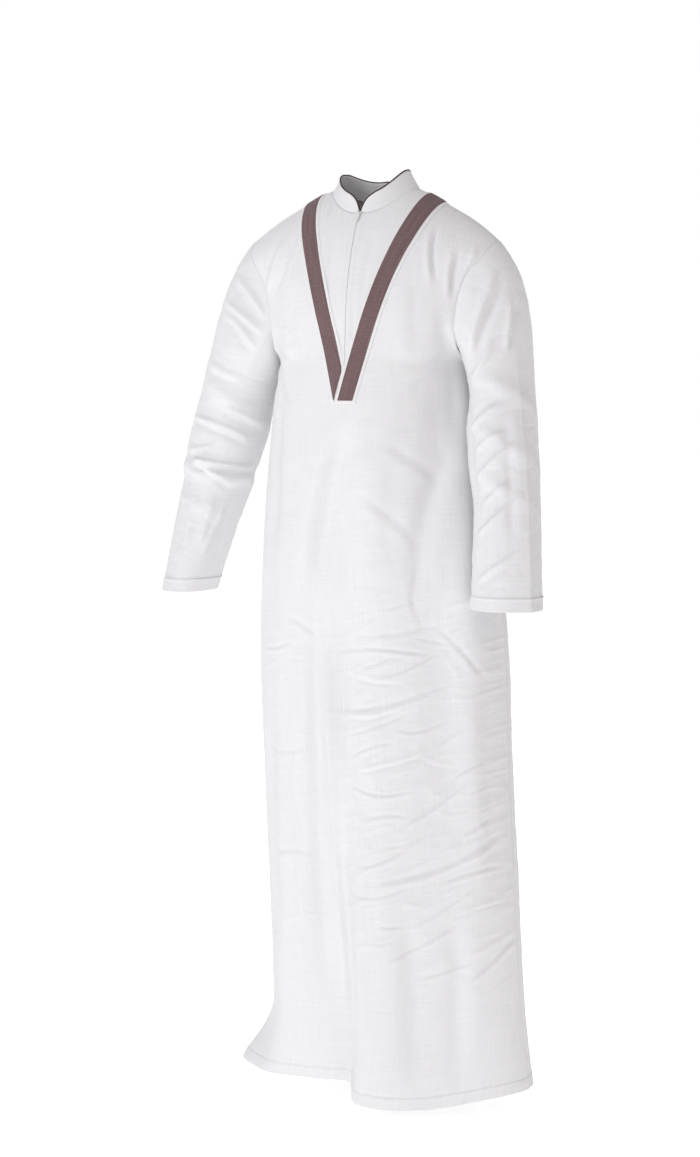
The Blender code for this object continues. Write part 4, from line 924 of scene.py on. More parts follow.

# %% [markdown]
# The collar stands round the neck in two layers with rounded fronts that sink to the top of the zip. A cord
# of the bands' brown cloth, the piping, is caught in its top edge; it is coloured darker than the bands with
# painted shade for the shadow along it. The collar is one grid that climbs its outside, turns over the top
# and goes down its inside; at its two ends the layers close up.

# %% Collar and piping
COLLAR = {
    "deg": [1.6, 3.5, 6.5, 10.0, 15.0, 22.0, 45.0, 70.0, 90.0, 115.0, 180.0],
    "left": [0.0035, 0.010, 0.0175, 0.0230, 0.0270, 0.0295, 0.0310, 0.0305, 0.0300, 0.0300, 0.0310],
    "right": [0.0035, 0.010, 0.0175, 0.0225, 0.0260, 0.0275, 0.0250, 0.0225, 0.0230, 0.0270, 0.0310],
}
COLLAR_LEAN, COLLAR_SIDE_LEAN, COLLAR_GAP_DEG, COLLAR_LAYER = 0.006, 0.012, 1.6, 0.0008


def neckline(angle):
    """Points of the neckline all round: angle 0 at the front middle, 90 at the wearer's left."""
    x = NECK_X * np.sin(np.radians(angle))
    front_q, back_q = neck_q(FRONT, x), neck_q(BACK, x)
    front, back = surface(FRONT, u_of(x, front_q), front_q), surface(BACK, u_of(x, back_q), back_q)
    return np.where((np.cos(np.radians(angle)) > 0)[..., None], front, back)


def collar_place(angle, up):
    """Points of the collar and the ways out from the neck: up is 0 at its seam and 1 at its top edge."""
    base, ends = neckline(angle), neckline(np.array([0.0, 180.0]))
    away = base - np.array([0.0, ends[:, 1].mean(), 0.0])
    away[..., 2] = 0
    away = unit(away)
    height = blend_sides(COLLAR, "deg", np.abs(degrees_from(angle, 0)), (angle % 360) < 180)
    lean = COLLAR_LEAN + COLLAR_SIDE_LEAN * np.sin(np.radians(angle)) ** 2
    curve = up + 0.25 * up * (1 - up)
    points = base - (0.0006 + curve * lean * height / 0.031)[..., None] * away
    points[..., 2] += up * height
    return points, away


half = np.concatenate([np.linspace(COLLAR_GAP_DEG, 24, 40)[:-1], np.linspace(24, 180, 70)])
collar_angle = np.concatenate([half, 360 - half[::-1][1:]])


def collar():
    climb = np.concatenate([[-0.14], np.linspace(0.0, 1.0, 14)])
    angle, up = np.broadcast_arrays(collar_angle[None, :], climb[:, None])
    points, away = collar_place(angle, up)
    from_end = (np.minimum(angle, 360 - angle) - COLLAR_GAP_DEG) / 1.2
    layer = COLLAR_LAYER * quarter_circle(from_end) + 0.0001
    wave = unevenness(np.radians(angle) * NECK_X, up * 0.03, 21, lean=0.9, wave=0.0005, crumple=0.0005)
    wave = wave * smooth_step(up / 0.3) * smooth_step((1.05 - up) / 0.3)
    pucker = 0.0005 * np.exp(-((up - 0.06) / 0.06) ** 2)
    outer = points + away * (layer + wave - pucker)[..., None]
    inner = points + away * (wave - layer)[..., None]
    top = points[-1:] + away[-1:] * wave[-1:, :, None] + np.array([0, 0, 0.0003])
    grid = np.concatenate([outer, top, inner[::-1]])
    return sheet_object("collar_cloth", grid, WHITE_CLOTH)


def ring_round(side, other, sides):
    """Directions all round each place of a line, from two directions square to it."""
    turn = np.linspace(0, 2 * pi, sides, endpoint=False)
    return np.cos(turn)[None, :, None] * side[:, None] + np.sin(turn)[None, :, None] * other[:, None]


def cord(name, path, radius, material, sides=10):
    """A thin round cord along a path."""
    step = unit(np.gradient(path, axis=0))
    side = unit(np.cross(step, np.eye(3)[np.argmin(np.abs(step).mean(axis=0))]))
    size = np.full(len(path), radius)
    size[0] = size[-1] = radius * 0.2
    points = path[:, None] + ring_round(side, np.cross(side, step), sides) * size[:, None, None]
    return sheet_object(name, points, material, closed=True)


collar_cloth = collar()
top_edge, top_away = collar_place(collar_angle, np.ones(len(collar_angle)))
edge_up = unit(np.cross(top_away, np.gradient(top_edge, axis=0)))
piping = cord("piping", top_edge + edge_up * 0.0010, 0.0012, PIPING_SHADED_CLOTH)
print("collar", round(float(top_edge[:, 2].max()), 3), "m at its highest")

# %% [markdown]
# The sleeves. Each hangs from the armhole in one smooth curve into a tube that narrows to the cuff, and it
# was pressed flat, which leaves a sharp crease down its outer front. Its folds are drawn where the elbow
# bends and where the arm pulls the cloth. Places on it are the angle round it, 0 outside and 90 in front,
# and the height. In its table of creases a degree round the sleeve counts as a millimetre.

# %% Sleeves
SLEEVES = {
    LEFT: {
        "z":      [-0.325, -0.400, -0.480, -0.560, -0.664],
        "x":      [0.220, 0.233, 0.246, 0.255, 0.264],
        "y":      [-0.010, -0.028, -0.046, -0.068, -0.092],
        "inner":  [0.048, 0.054, 0.055, 0.058, 0.062],
        "outer":  [0.054, 0.053, 0.050, 0.051, 0.053],
        "depth":  [0.070, 0.067, 0.061, 0.057, 0.054],
        "crease": [0.003, 0.005, 0.006, 0.007, 0.008],
    },
    RIGHT: {
        "z":      [-0.325, -0.400, -0.480, -0.560, -0.656],
        "x":      [-0.250, -0.268, -0.286, -0.303, -0.321],
        "y":      [0.006, 0.006, -0.004, -0.020, -0.040],
        "inner":  [0.062, 0.060, 0.054, 0.046, 0.038],
        "outer":  [0.062, 0.065, 0.053, 0.046, 0.036],
        "depth":  [0.072, 0.072, 0.068, 0.065, 0.064],
        "crease": [0.003, 0.005, 0.006, 0.007, 0.008],
    },
}
CREASE_ANGLE, CREASE_WIDTH, FIRST_RING_Z, SLEEVE_TOP = 35.0, 16.0, -0.325, 0.36
DEGREE = 0.001    # what a degree round the sleeve counts as, in metres, in the table of creases
# How the cloth leaves the armhole: outwards, forwards and downwards, and less outwards at the armpit.
LEAVE_OUT, LEAVE_OUT_TURN, LEAVE_FRONT, LEAVE_DOWN = 0.48, 0.18, 0.20, 0.70
PIT_LEAVE_SHARE, PIT_SHIFT = 0.6, 0.0030
SLEEVE_FOLDS = {
    LEFT: [
        # at    angle reach width out     slant
        (0.34,  60.0, 70.0, 0.030, -0.004, -0.10),
        (0.50,  75.0, 60.0, 0.028, -0.004, -0.09),
        (0.64,  80.0, 60.0, 0.030, -0.004, -0.08),
        (0.52, 250.0, 70.0, 0.035, -0.004, 0.08),
    ],
    RIGHT: [
        (0.40, 120.0, 65.0, 0.026, -0.005, 0.10),
        (0.62, 110.0, 75.0, 0.022, -0.009, 0.03),
        (0.72,  90.0, 55.0, 0.024, -0.004, 0.05),
        (0.60, 250.0, 60.0, 0.030, 0.004, -0.05),
    ],
}
SLEEVE_CREASES = {
    LEFT: [
        # start deg, z through deg, z end deg, z  width   out beside
        (  28,  -120,   68,  -195,  108,  -262,  5.1,  -9.2,  0.6),
        (  24,  -165,   38,  -212,   50,  -262,  4.3,  -5.5,  0.6),
        ( 120,  -300,   90,  -275,   60,  -230,  5.1,  -5.2,  0.6),
        ( 135,  -388,  104,  -360,   58,  -332,  5.1,  -5.5,  0.6),
        ( 128,  -420,   95,  -396,   62,  -380,  4.3,  -4.0, -0.6),
        ( 130,  -465,   92,  -430,   46,  -396,  5.1,  -5.5,  0.6),
        ( 120,  -500,   90,  -478,   60,  -455,  4.3,  -3.7,  0.6),
        ( 132,  -552,   99,  -522,   45,  -482,  5.1,  -5.5,  0.6),
        ( 130,  -622,  100,  -600,   48,  -566,  4.7,  -4.4, -0.6),
        ( 150,  -340,  152,  -420,  148,  -520,  7.6,  -5.3,  0.5),
        ( 215,  -380,  250,  -410,  285,  -395,  5.9,  -4.5,  0.6),
        ( 210,  -450,  245,  -470,  290,  -450,  5.1,  -4.8,  0.6),
        ( 220,  -290,  250,  -300,  280,  -270,  5.9,  -4.5,  0.6),
        (  60,  -340,   62,  -450,   66,  -600,  9.3,   3.0,  0.3),
    ],
    RIGHT: [
        (  32,  -128,   70,  -168,  104,  -205,  4.3,  -5.9,  0.6),
        (  30,  -168,   76,  -200,  116,  -232,  4.3,  -5.9,  0.6),
        (  46,  -190,   84,  -222,  118,  -258,  4.3,  -5.5,  0.6),
        (  40,  -270,   80,  -290,  120,  -300,  5.9,  -3.9,  0.6),
        (  28,  -362,  100,  -380,  152,  -408,  5.1,  -7.4,  0.7),
        (  98,  -348,  125,  -360,  172,  -385,  5.5,  -6.8,  0.6),
        (  58,  -436,  100,  -443,  180,  -452,  5.5,  -9.0,  0.7),
        (  78,  -444,  115,  -462,  150,  -482,  4.3,  -6.4,  0.6),
        (  40,  -420,   70,  -418,  100,  -410,  4.3,  -4.0,  0.6),
        ( 115,  -490,  115,  -535,  120,  -590,  8.5,  -4.5,  0.5),
        ( 126,  -598,  136,  -555,  143,  -500,  4.7,  -5.2,  0.6),
        (  60,  -510,   80,  -540,   90,  -600,  7.6,  -3.0,  0.5),
        ( 215,  -420,  250,  -445,  290,  -430,  5.9,  -5.3,  0.6),
        ( 220,  -330,  255,  -345,  290,  -320,  5.9,  -4.5,  0.6),
        ( 215,  -520,  245,  -540,  280,  -520,  5.1,  -4.6,  0.6),
    ],
}


print("creases on the left and the right sleeve:", len(SLEEVE_CREASES[LEFT]), len(SLEEVE_CREASES[RIGHT]))

# %% The sleeves' form


def armhole(side, rows=78):
    """Points round the armhole: the shoulder, down the front to the armpit, and up the back."""
    q = np.concatenate([np.linspace(2.0, 1.0, rows - 11), np.linspace(1.0, ARMPIT_Q, 12)[1:]])
    edge = np.full(q.shape, side * 1.0)
    front, back = surface(FRONT, edge, q), surface(BACK, edge, q)
    out = np.concatenate([outward(FRONT, edge, q), outward(BACK, edge, q)[::-1][1:-1]])
    return np.concatenate([front, back[::-1][1:-1]]), out, len(q) - 1


def turn_round(loop, half):
    """Angles round the sleeve for a loop's points: 0 outside, 90 front, 180 inside, shared out by length."""
    step = np.linalg.norm(np.roll(loop, -1, axis=0) - loop, axis=-1)
    down, up = step[:half], step[half:]
    first = np.concatenate([[0], np.cumsum(down)[:-1]]) / down.sum() * 180
    return np.concatenate([first, 180 + np.concatenate([[0], np.cumsum(up)[:-1]]) / up.sum() * 180])


def ring_point(side, angle, z):
    """A point of the sleeve's tube at an angle round it and a height, below the first full ring."""
    table = SLEEVES[side]
    value = {name: through(table["z"], table[name], z) for name in table if name != "z"}
    turn = np.radians(angle)
    reach = np.where(np.cos(turn) > 0, value["outer"], value["inner"])
    off = degrees_from(angle, CREASE_ANGLE)
    crease = value["crease"] * np.exp(-np.abs(off) / CREASE_WIDTH)
    x = value["x"] + side * np.cos(turn) * (reach + crease)
    return np.stack([x, value["y"] - np.sin(turn) * (value["depth"] + crease), z + 0 * x], axis=-1)


def sleeve_form(side, top_rows=84, tube_rows=140):
    """Rows of points from the armhole to the cuff: smooth curves to the first full ring, then rings."""
    loop, panel_out, half = armhole(side)
    angle = turn_round(loop, half)
    turn = np.radians(angle)
    first = ring_point(side, angle, np.full(angle.shape, FIRST_RING_Z))
    below = ring_point(side, angle, np.full(angle.shape, FIRST_RING_Z - 0.01))
    leave = np.stack([side * (LEAVE_OUT + LEAVE_OUT_TURN * np.cos(turn)), -LEAVE_FRONT * np.sin(turn),
                      np.full(turn.shape, -LEAVE_DOWN)], axis=-1)
    pit = smooth_step((-np.cos(turn) - 0.6) / 0.3)[:, None]
    leave = unit(leave * (1 - pit * np.array([1 - PIT_LEAVE_SHARE, 0.0, 0.0])))
    near_pit = smooth_step((-np.cos(turn) - 0.5) / 0.5)
    start = loop + near_pit[:, None] * np.array([side * PIT_SHIFT, 0, 0]) + leave * 0.0004
    span = np.linalg.norm(first - start, axis=-1, keepdims=True)
    arrive = (below - first) / 0.01
    # the first two rows are the seam allowance, tucked in under the panels
    rows = [start - leave * 0.005 - panel_out * 0.0030, start - leave * 0.0015 - panel_out * 0.0016]
    for t in np.linspace(0, 1, top_rows + 1):
        rows.append((1 + 2 * t) * (1 - t) ** 2 * start + t * (1 - t) ** 2 * span * leave
                    + t * t * (3 - 2 * t) * first + t * t * (t - 1) * span * arrive)
    cuff_z = SLEEVES[side]["z"][-1]
    tube_z = np.concatenate([np.linspace(FIRST_RING_Z, cuff_z + 0.024, tube_rows - 15)[:-1],
                             np.linspace(cuff_z + 0.024, cuff_z, 17)])[1:]
    for z in tube_z:
        rows.append(ring_point(side, angle, np.full(angle.shape, z)))
    tube_place = SLEEVE_TOP + (1 - SLEEVE_TOP) * (FIRST_RING_Z - tube_z) / (FIRST_RING_Z - cuff_z)
    place = np.concatenate([[0, 0], np.linspace(0, SLEEVE_TOP, top_rows + 1), tube_place])
    return np.array(rows), angle, place


for side in (LEFT, RIGHT):
    loop = armhole(side)[0]
    girth = np.linalg.norm(np.roll(loop, -1, axis=0) - loop, axis=-1).sum()
    print("armhole", round(float(girth), 3), "m round")

# %% Sleeves in cloth


def sleeve(side, name):
    points, angle, place = sleeve_form(side)
    points = points[::-1]
    place = place[::-1, None]
    if side == RIGHT:
        points, angle = points[:, ::-1], angle[::-1]
    normals = grid_normals(points, closed=True)
    out = np.zeros(points.shape[:2])
    for at, centre, reach, width, depth, slant in SLEEVE_FOLDS[side]:
        off = degrees_from(angle[None, :], centre)
        from_fold = (place - at - slant * off / 90) / width
        out += depth * np.exp(-((off / reach) ** 2)) * np.exp(-(from_fold ** 2))
    flat = points
    points = points + normals * out[..., None]
    normals = grid_normals(points, closed=True)
    across = ((angle + 50) % 360 - 50)[None, :] * DEGREE + 0 * place
    run = np.linalg.norm(np.diff(points, axis=0), axis=-1)
    to_armhole = np.concatenate([np.cumsum(run[::-1], axis=0)[::-1], np.zeros((1, run.shape[1]))])
    calm = smooth_step((to_armhole - 0.006) / 0.02)
    above_cuff = points[..., 2] - points[:1, :, 2]
    out = crease_offset(across, points[..., 2], SLEEVE_CREASES[side])
    ends = np.abs((across / DEGREE - 130) / 180) ** 6
    uneven = unevenness(across, points[..., 2], 13 + side, lean=-0.4, wave=0.0010, crumple=0.0010)
    out = out + uneven * (1 - ends)
    out = out * calm * (0.35 + 0.65 * smooth_step((above_cuff - 0.012) / 0.04)) + hem_step(above_cuff, 0.0185)
    points = points + normals * out[..., None] + groove(normals, to_armhole - 0.004, depth=0.0006)
    turned = rows_within(points, CUFF_TURN)
    hemmed, flat = (roll_under(grid, normals, turned)[0] for grid in (points, flat))
    return sheet_object(name, hemmed, WHITE_CLOTH, closed=True, flat=flat)


sleeve_left_cloth, sleeve_right_cloth = sleeve(LEFT, "sleeve_left_cloth"), sleeve(RIGHT, "sleeve_right_cloth")
print("sleeve faces", len(sleeve_left_cloth.data.polygons), len(sleeve_right_cloth.data.polygons))

# %% [markdown]
# The zip. Its tape is sewn behind the two edges of the inset, and the teeth are two rows of small rounded
# bars, one row on each half, that grip each other in turn. Each bar is a short cord, so they are quick to
# repeat.

# %% Zip tape
TAPE_WIDTH, ZIP_BOTTOM_Z, TAPE_DEPTH, TOOTH_PITCH = 0.022, -0.275, 0.0021, 0.0015


def zip_line(z, x=0.0, deep=TAPE_DEPTH):
    """Points behind the inset's middle at heights z, and their outward directions."""
    z = np.asarray(z, float)
    x = np.broadcast_to(x, z.shape).astype(float)
    q = q_of(x, z)
    u = u_of(x, q)
    normals = outward(FRONT, u, q)
    return surface(FRONT, u, q) - normals * deep, normals


def zip_tape():
    top_q = neck_q(FRONT, 0.0)
    top_z = float(surface(FRONT, u_of(0.0, top_q), top_q)[2]) - 0.0006
    columns, rows = np.linspace(-TAPE_WIDTH / 2, TAPE_WIDTH / 2, 23), np.linspace(ZIP_BOTTOM_Z, top_z, 150)
    x, z = np.meshgrid(columns, rows)
    points, normals = zip_line(z, x)
    ridge = 0.00035 * np.exp(-(((np.abs(x) - 0.0032) / 0.0007) ** 2))
    return sheet_object("tape_cloth", points + normals * ridge[..., None], TAPE_CLOTH), top_z


tape_cloth, zip_top_z = zip_tape()
print("zip", round(zip_top_z - ZIP_BOTTOM_Z, 3), "m long")

# %% Small rods and hard materials


def capsules(name, starts, ends, radius, material, sides=6):
    """One mesh with a small round-ended rod from each start to each end."""
    along = unit(ends - starts)
    side = unit(np.cross(along, np.array([0.31, 0.43, 0.85])))
    around = ring_round(side, np.cross(along, side), sides)
    shape = [(-1.0, 0.05), (-0.75, 0.66), (-0.2, 1.0), (0.2, 1.0), (0.75, 0.66), (1.0, 0.05)]
    rings = []
    for place, size in shape:
        end = starts if place < 0 else ends
        middle = end + along * (radius * (place - np.sign(place) * 0.2))
        rings.append(middle[:, None] + around * radius * size)
    points = np.stack(rings, axis=1)
    count, levels = points.shape[:2]
    first_points = np.arange(count)[:, None, None] * levels * sides
    faces = (ring_faces(levels, sides)[None] + first_points).reshape(-1, 4)
    return add_piece(name, points.reshape(-1, 3).tolist(), faces.tolist(), material)


def moulded(name, colour, roughness, grain, bump_depth):
    """Hard material with a faint grain: moulded plastic, painted metal or waxed thread."""
    made, nodes, links, shader = new_material(name, colour, roughness)
    place = nodes.new("ShaderNodeTexCoord")
    noise = nodes.new("ShaderNodeTexNoise")
    noise.inputs["Scale"].default_value = grain
    noise.inputs["Detail"].default_value = 3.0
    links.new(place.outputs["Object"], noise.inputs["Vector"])
    spread = nodes.new("ShaderNodeMapRange")
    spread.inputs["To Min"].default_value = roughness - 0.06
    spread.inputs["To Max"].default_value = roughness + 0.10
    links.new(noise.outputs["Fac"], spread.inputs["Value"])
    links.new(spread.outputs["Result"], shader.inputs["Roughness"])
    add_bump(nodes, links, shader, noise.outputs["Fac"], bump_depth, 0.3)
    return made


ZIP_PAINT = moulded("zip_paint", (0.78, 0.775, 0.77), 0.32, 900.0, 0.00005)
TOOTH_PLASTIC = moulded("tooth_plastic", (0.80, 0.80, 0.79), 0.40, 1500.0, 0.00003)
BAND_THREAD = moulded("band_thread", (0.20, 0.125, 0.13), 0.75, 2500.0, 0.00008)
THREAD = moulded("thread", (0.84, 0.838, 0.85), 0.75, 2500.0, 0.00008)
print("made", [m.name for m in (ZIP_PAINT, TOOTH_PLASTIC, BAND_THREAD, THREAD)])

# %% Teeth
TOOTH_LIFT, TOOTH_BACK, TOOTH_REACH, TOOTH_RADIUS = 0.0009, 0.0003, 0.0022, 0.00052
tooth_z = np.arange(ZIP_BOTTOM_Z + 0.004, zip_top_z - 0.001, TOOTH_PITCH)
middle, _ = zip_line(tooth_z, deep=TAPE_DEPTH - TOOTH_LIFT)
hook = np.where(np.arange(len(tooth_z)) % 2 == 0, 1.0, -1.0)[:, None] * np.array([1.0, 0, 0])
teeth = capsules("zip_teeth", middle - hook * TOOTH_BACK, middle + hook * TOOTH_REACH, TOOTH_RADIUS,
                 TOOTH_PLASTIC, sides=8)
print(len(tooth_z), "teeth")

# %% [markdown]
# The slider stays where it is, near the top, and its pull tab hangs from an arch called the bail and lies
# down the cloth. Each flat part is an outline given thickness, with its edges rounded by a Bevel modifier;
# the tab's window is cut with a Boolean. They are built upright and then tilted to the slope of the chest.

# %% Slider and pull tab
SLIDER_PLACE, PIN_PLACE = (0.0, -0.077278, -0.036456), (0.0, -0.080322, -0.034442)
ZIP_LEAN = radians(33.5)
SLIDER_SIZE, BAIL_REACH, BAIL_HEIGHT = (0.0070, 0.0024, 0.0090), 0.0034, 0.0072
PULL_WIDTH, PULL_THICK, PULL_LENGTH = 0.0052, 0.0010, 0.0140
WINDOW_WIDTH, WINDOW_LENGTH, PIN_RADIUS = 0.0030, 0.0052, 0.0006


def rounded(width, top, low, corner, low_width=None, steps=7):
    """Outline of a plate in x and z with round corners, low_width across its low end."""
    low_width = width if low_width is None else low_width
    points = []
    for x, z, start in ((1, 1, 0), (-1, 1, 90), (-1, -1, 180), (1, -1, 270)):
        wide, edge = (width, top) if z > 0 else (low_width, low)
        for turn in np.radians(start + np.linspace(0, 90, steps)):
            across = x * (wide / 2 - corner) + corner * cos(turn)
            points.append((across, edge - z * corner + corner * sin(turn)))
    return points


def round_edges(piece, width):
    bevel = piece.modifiers.new("rounded edges", "BEVEL")
    bevel.width, bevel.segments, bevel.limit_method, bevel.harden_normals = width, 3, "ANGLE", True
    piece.data.shade_smooth()


def plate(name, outline, front_y, thick, edge=0.00025):
    """A plate of an outline, from front_y back by thick, with rounded edges unless edge is 0."""
    count = len(outline)
    points = [(x, front_y, z) for x, z in outline] + [(x, front_y + thick, z) for x, z in outline]
    faces = [tuple(range(count)), tuple(reversed(range(count, 2 * count)))]
    faces += [(k, k + count, (k + 1) % count + count, (k + 1) % count) for k in range(count)]
    made = add_piece(name, points, [tuple(reversed(face)) for face in faces], ZIP_PAINT, smooth=False)
    if edge:
        round_edges(made, edge)
    return made


def settle(pieces, place):
    """Moves pieces built upright round the origin to their place on the chest, with its slope."""
    for piece in pieces:
        piece.location, piece.rotation_euler = place, (-ZIP_LEAN, 0, 0)


def slider():
    wide, thick, tall = SLIDER_SIZE
    shape = rounded(wide, tall / 2, -tall / 2, 0.0018, low_width=wide * 0.72)
    face = plate("slider", shape, -thick, 0.0009, 0.0003)
    back = plate("slider_back", shape, -0.0008, 0.0008)
    wedge = plate("slider_wedge", rounded(0.0030, tall / 2 - 0.0006, 0.0004, 0.0009), -0.0017, 0.0011)
    t = np.linspace(0, 1, 25)
    out = np.sin(t * pi) ** 0.45
    arch_y, arch_z = -thick + 0.0002 - (BAIL_REACH - 0.0003) * out, (t - 0.5) * (BAIL_HEIGHT - 0.001)
    arch = np.stack([0 * t, arch_y, arch_z], axis=-1)
    bail = cord("bail", arch, 0.00047, ZIP_PAINT, sides=12)
    bail.data.transform(Matrix.Diagonal((1.7, 1, 1, 1)))
    return [face, back, wedge, bail]


def pull_tab():
    tab = plate("pull_tab", rounded(PULL_WIDTH, 0.0006, -PULL_LENGTH, 0.0016, low_width=PULL_WIDTH * 0.9),
                -PULL_THICK / 2, PULL_THICK, 0.0)
    window_shape = rounded(WINDOW_WIDTH, PIN_RADIUS * 0.2, -WINDOW_LENGTH, 0.0009)
    dent_shape = rounded(PULL_WIDTH * 0.56, -0.0068, -PULL_LENGTH + 0.0013, 0.0012)
    window = plate("window", window_shape, -0.002, 0.004, 0.0)
    dent = plate("dent", dent_shape, -0.002, 0.00168, 0.0)
    for cutter in (window, dent):
        cut = tab.modifiers.new("cut", "BOOLEAN")
        cut.operation, cut.solver, cut.object = "DIFFERENCE", "EXACT", cutter
    bpy.context.view_layer.update()
    shaped = bpy.data.meshes.new_from_object(tab.evaluated_get(bpy.context.evaluated_depsgraph_get()))
    tab.modifiers.clear()
    tab.data = shaped
    for cutter in (window, dent):
        bpy.data.objects.remove(cutter)
    round_edges(tab, 0.00018)
    reach = WINDOW_WIDTH / 2 + 0.0005
    bar = np.array([[x, 0, 0] for x in np.linspace(-reach, reach, 7)])
    pin = cord("pull_pin", bar, PIN_RADIUS, ZIP_PAINT)
    return [tab, pin]


slider_parts, pull_parts = slider(), pull_tab()
settle(slider_parts, SLIDER_PLACE)
settle(pull_parts, PIN_PLACE)
print("slider at z", SLIDER_PLACE[2], "and the tab hangs", PULL_LENGTH, "m from its pin")

# %% [markdown]
# Stitches. A row of machine stitches is a line of short threads with small gaps, and each pulls the cloth
# down a little. They hold the turned hem and cuffs, the edges of the V strips and the inset's folded
# edges. Each thread is one small rod laid on the finished cloth.

# %% Rows of stitches
STITCH, STITCH_GAP, THREAD_RADIUS = 0.0021, 0.0008, 0.00019
HEM_STITCHES, CUFF_STITCHES = 0.0205, 0.018    # heights of the rows above the folded edge


def along_path(path, normals, length=STITCH, gap=STITCH_GAP, lift=0.0001):
    """Starts and ends of the stitches along a path that lies on the cloth."""
    run = np.concatenate([[0], np.cumsum(np.linalg.norm(np.diff(path, axis=0), axis=-1))])
    start = np.arange(0.001, run[-1] - length, length + gap)
    raised = path + normals * lift

    def at(distance):
        return np.stack([np.interp(distance, run, raised[:, k]) for k in range(3)], axis=-1)

    return at(start), at(start + length)


def row_above(points, height):
    """The row of a grid of cloth with a hem whose height above the fold is closest to the wanted one."""
    fold = int(np.argmin(points[..., 2].mean(axis=1)))
    run = np.linalg.norm(points[fold:] - points[fold], axis=-1).mean(axis=1)
    return fold + int(np.argmin(np.abs(run - height)))


def ring_of_stitches(name, sheet_name, height, closed):
    points = GRIDS[sheet_name]
    row = row_above(points, height)
    line, out = points[row], grid_normals(points, closed)[row]
    if closed:
        line, out = np.concatenate([line, line[:1]]), np.concatenate([out, out[:1]])
    else:
        line, out = line[1:-1], out[1:-1]
    return capsules(name, *along_path(line, out), THREAD_RADIUS, THREAD)


def column_of_stitches(name, sheet_name, column, first=2, last=-3):
    points = GRIDS[sheet_name]
    normals = grid_normals(points)
    thread = BAND_THREAD if name.startswith("band") else THREAD
    starts, ends = along_path(points[first:last, column], normals[first:last, column])
    return capsules(name, starts, ends, THREAD_RADIUS, thread)


stitches = {}
for word in ("front", "back"):
    stitches[word] = ring_of_stitches("hem_stitches_" + word, word + "_cloth", HEM_STITCHES, False)
for word in ("left", "right"):
    sheet_name = f"sleeve_{word}_cloth"
    stitches["cuff_" + word] = ring_of_stitches("cuff_stitches_" + word, sheet_name, CUFF_STITCHES, True)
for word in ("left", "right"):
    for kind, sheet_kind, column in (("band", "brown_band", 4), ("strip", "strip", 3)):
        for edge, place in (("", column), ("in_", -1 - column)):
            name, sheet_name = f"{kind}_stitches_{edge}{word}", f"{sheet_kind}_{word}"
            stitches[f"{kind}_{edge}{word}"] = column_of_stitches(name, sheet_name, place)
    inset_name = f"inset_{word}_cloth"
    level = GRIDS[inset_name][30, :, 0]    # a row a little above the zip's lower end
    column = int(np.argmin(np.abs(np.abs(level) - PLACKET)))
    stitches["inset_" + word] = column_of_stitches("inset_stitches_" + word, inset_name, column, 12)
hem_points = sum(len(stitches[word].data.vertices) for word in ("front", "back"))
print("stitches round the hem", hem_points // 36)    # each has 6 rings of 6 points

# %% [markdown]
# What each piece stands for. Every piece rides on a body of the imported model, and each sheet in the
# table names the plain solid that it takes the place of, which is hidden, and a material slot. The area of
# each sheet is printed.

# %% Riding, replacing and areas
ROBE_PIECES = {
    front_cloth: ("front_panel", "white_cloth"),
    back_cloth: ("back_panel", "white_cloth"),
    inset_left_cloth: ("inset_left", "white_cloth"),
    inset_right_cloth: ("inset_right", "white_cloth"),
    strips["facing_left"]: ("facing_left", "white_cloth"),
    strips["facing_right"]: ("facing_right", "white_cloth"),
    strips["band_left"]: ("band_left", "band_cloth"),
    strips["band_right"]: ("band_right", "band_cloth"),
    collar_cloth: ("collar", "white_cloth"),
    piping: ("collar_piping", "band_cloth"),
    sleeve_left_cloth: ("sleeve_left", "white_cloth"),
    sleeve_right_cloth: ("sleeve_right", "white_cloth"),
    tape_cloth: ("zip_tape", "zip_tape"),
    slider_parts[0]: ("zip_slider", "zip_white"),
}
for piece, (node, finish) in ROBE_PIECES.items():
    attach(piece, "robe")
    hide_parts(node)
for piece in [teeth, *slider_parts[1:]]:
    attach(piece, "robe")
for word, piece in stitches.items():
    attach(piece, "robe")
for piece in pull_parts:
    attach(piece, "pull")
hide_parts("zip_pull")


def area_of(piece):
    return round(sum(face.area for face in piece.data.polygons), 4)


print({piece.name: area_of(piece) for piece in ROBE_PIECES})

# %% [markdown]
# Floor, light and camera. White cloth needs light that wraps round it and is a little stronger from one
# side, or its folds vanish. So the world gives an even pale light, one large soft lamp stands in front on
# the left of the view, a much weaker one on the right and one overhead, and a lamp behind lights the back
# in the same way. The floor is a wide disc of white paper, and behind it the world looks white, although
# the light it gives is dimmer.

# %% Floor
FLOOR_Z, FLOOR_RADIUS = -1.520, 30.0


def studio_floor():
    paper, nodes, links, shader = new_material("studio_paper", (0.93, 0.93, 0.935), 0.9)
    shader.inputs["Emission Color"].default_value = (1.0, 1.0, 1.0, 1.0)
    shader.inputs["Emission Strength"].default_value = 0.66
    noise = nodes.new("ShaderNodeTexNoise")
    noise.inputs["Scale"].default_value = 40.0
    add_bump(nodes, links, shader, noise.outputs["Fac"], 0.0002)
    turns = np.linspace(0, 2 * pi, 64, endpoint=False)
    reach, turn = np.meshgrid([0.01, 3.0, FLOOR_RADIUS], turns, indexing="ij")
    rings = np.stack([reach * np.cos(turn), reach * np.sin(turn), FLOOR_Z + 0 * turn], axis=-1)
    return sheet_object("studio_floor", rings[::-1], paper, closed=True)


floor = studio_floor()
print("floor at", FLOOR_Z)

# %% Lights
LAMPS_AIM_AT = (0.0, 0.0, -0.7)
LAMPS = [
    # name          x     y     z    width  power  colour
    ("key",       -1.7, -3.7,  1.4,   2.0,   57.0, (0.965, 0.978, 1.0)),
    ("fill",       2.2, -3.9,  0.6,   2.4,   10.0, (1.0, 0.95, 0.94)),
    ("behind",    -2.2,  3.8,  1.4,   2.4,   52.0, (0.985, 0.99, 1.0)),
    ("top",        0.3, -0.4,  2.6,   2.2,    9.0, (1.0, 0.995, 0.99)),
]


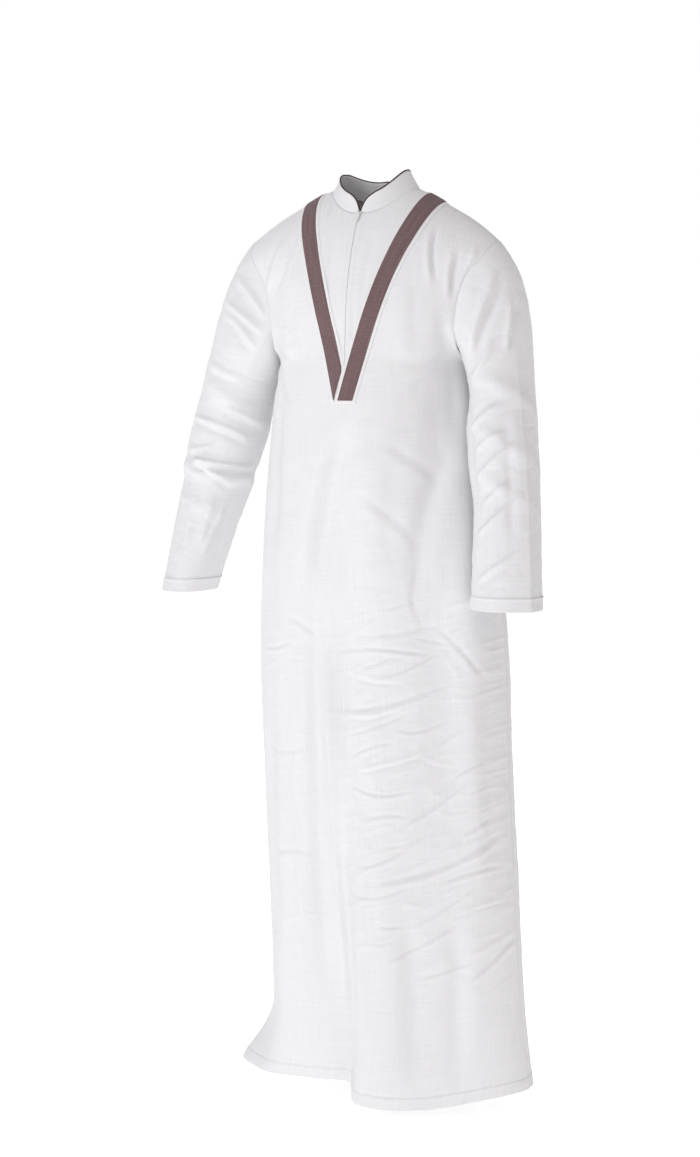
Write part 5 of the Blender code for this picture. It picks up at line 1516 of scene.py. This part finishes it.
def lamp(name, x, y, z, width, power, colour):
    light = bpy.data.lights.new(name, "AREA")
    light.energy, light.size, light.color = power, width, colour
    made = bpy.data.objects.new(name, light)
    made.location = (x, y, z)
    aim = Vector(LAMPS_AIM_AT) - made.location
    made.rotation_euler = aim.to_track_quat("-Z", "Y").to_euler()
    bpy.context.scene.collection.objects.link(made)


for row in LAMPS:
    lamp(*row)
world = bpy.data.worlds.new("studio")
world.use_nodes = True
sky_nodes, sky_links = world.node_tree.nodes, world.node_tree.links
soft_light = sky_nodes["Background"]
soft_light.inputs["Color"].default_value = (1.0, 0.962, 0.958, 1.0)
soft_light.inputs["Strength"].default_value = 0.42
white_paper = sky_nodes.new("ShaderNodeBackground")
white_paper.inputs["Color"].default_value = (1.0, 1.0, 1.0, 1.0)
seen, either = sky_nodes.new("ShaderNodeLightPath"), sky_nodes.new("ShaderNodeMixShader")
sky_links.new(seen.outputs["Is Camera Ray"], either.inputs["Fac"])
sky_links.new(soft_light.outputs["Background"], either.inputs[1])
sky_links.new(white_paper.outputs["Background"], either.inputs[2])
sky_links.new(either.outputs["Shader"], sky_nodes["World Output"].inputs["Surface"])
bpy.context.scene.world = world
bpy.context.scene.view_settings.view_transform = "Standard"
print(len(LAMPS), "lamps")

# %% Camera
CAMERA_AWAY, CAMERA_TURN, CAMERA_Z = 4.2, 22, -0.264    # metres, degrees to the wearer's left, height
LOOK_DOWN, LOOK_ASIDE = 5.0, 0.60    # degrees
camera_data = bpy.data.cameras.new("camera")
camera_data.lens, camera_data.sensor_width = 79.06, 36.0
camera = bpy.data.objects.new("camera", camera_data)
camera_way = radians(CAMERA_TURN)
camera.location = (CAMERA_AWAY * sin(camera_way), -CAMERA_AWAY * cos(camera_way), CAMERA_Z)
camera.rotation_euler = (radians(90 - LOOK_DOWN), 0.0, radians(CAMERA_TURN + LOOK_ASIDE))
bpy.context.scene.collection.objects.link(camera)
bpy.context.scene.camera = camera
print("camera at", tuple(round(v, 3) for v in camera.location))
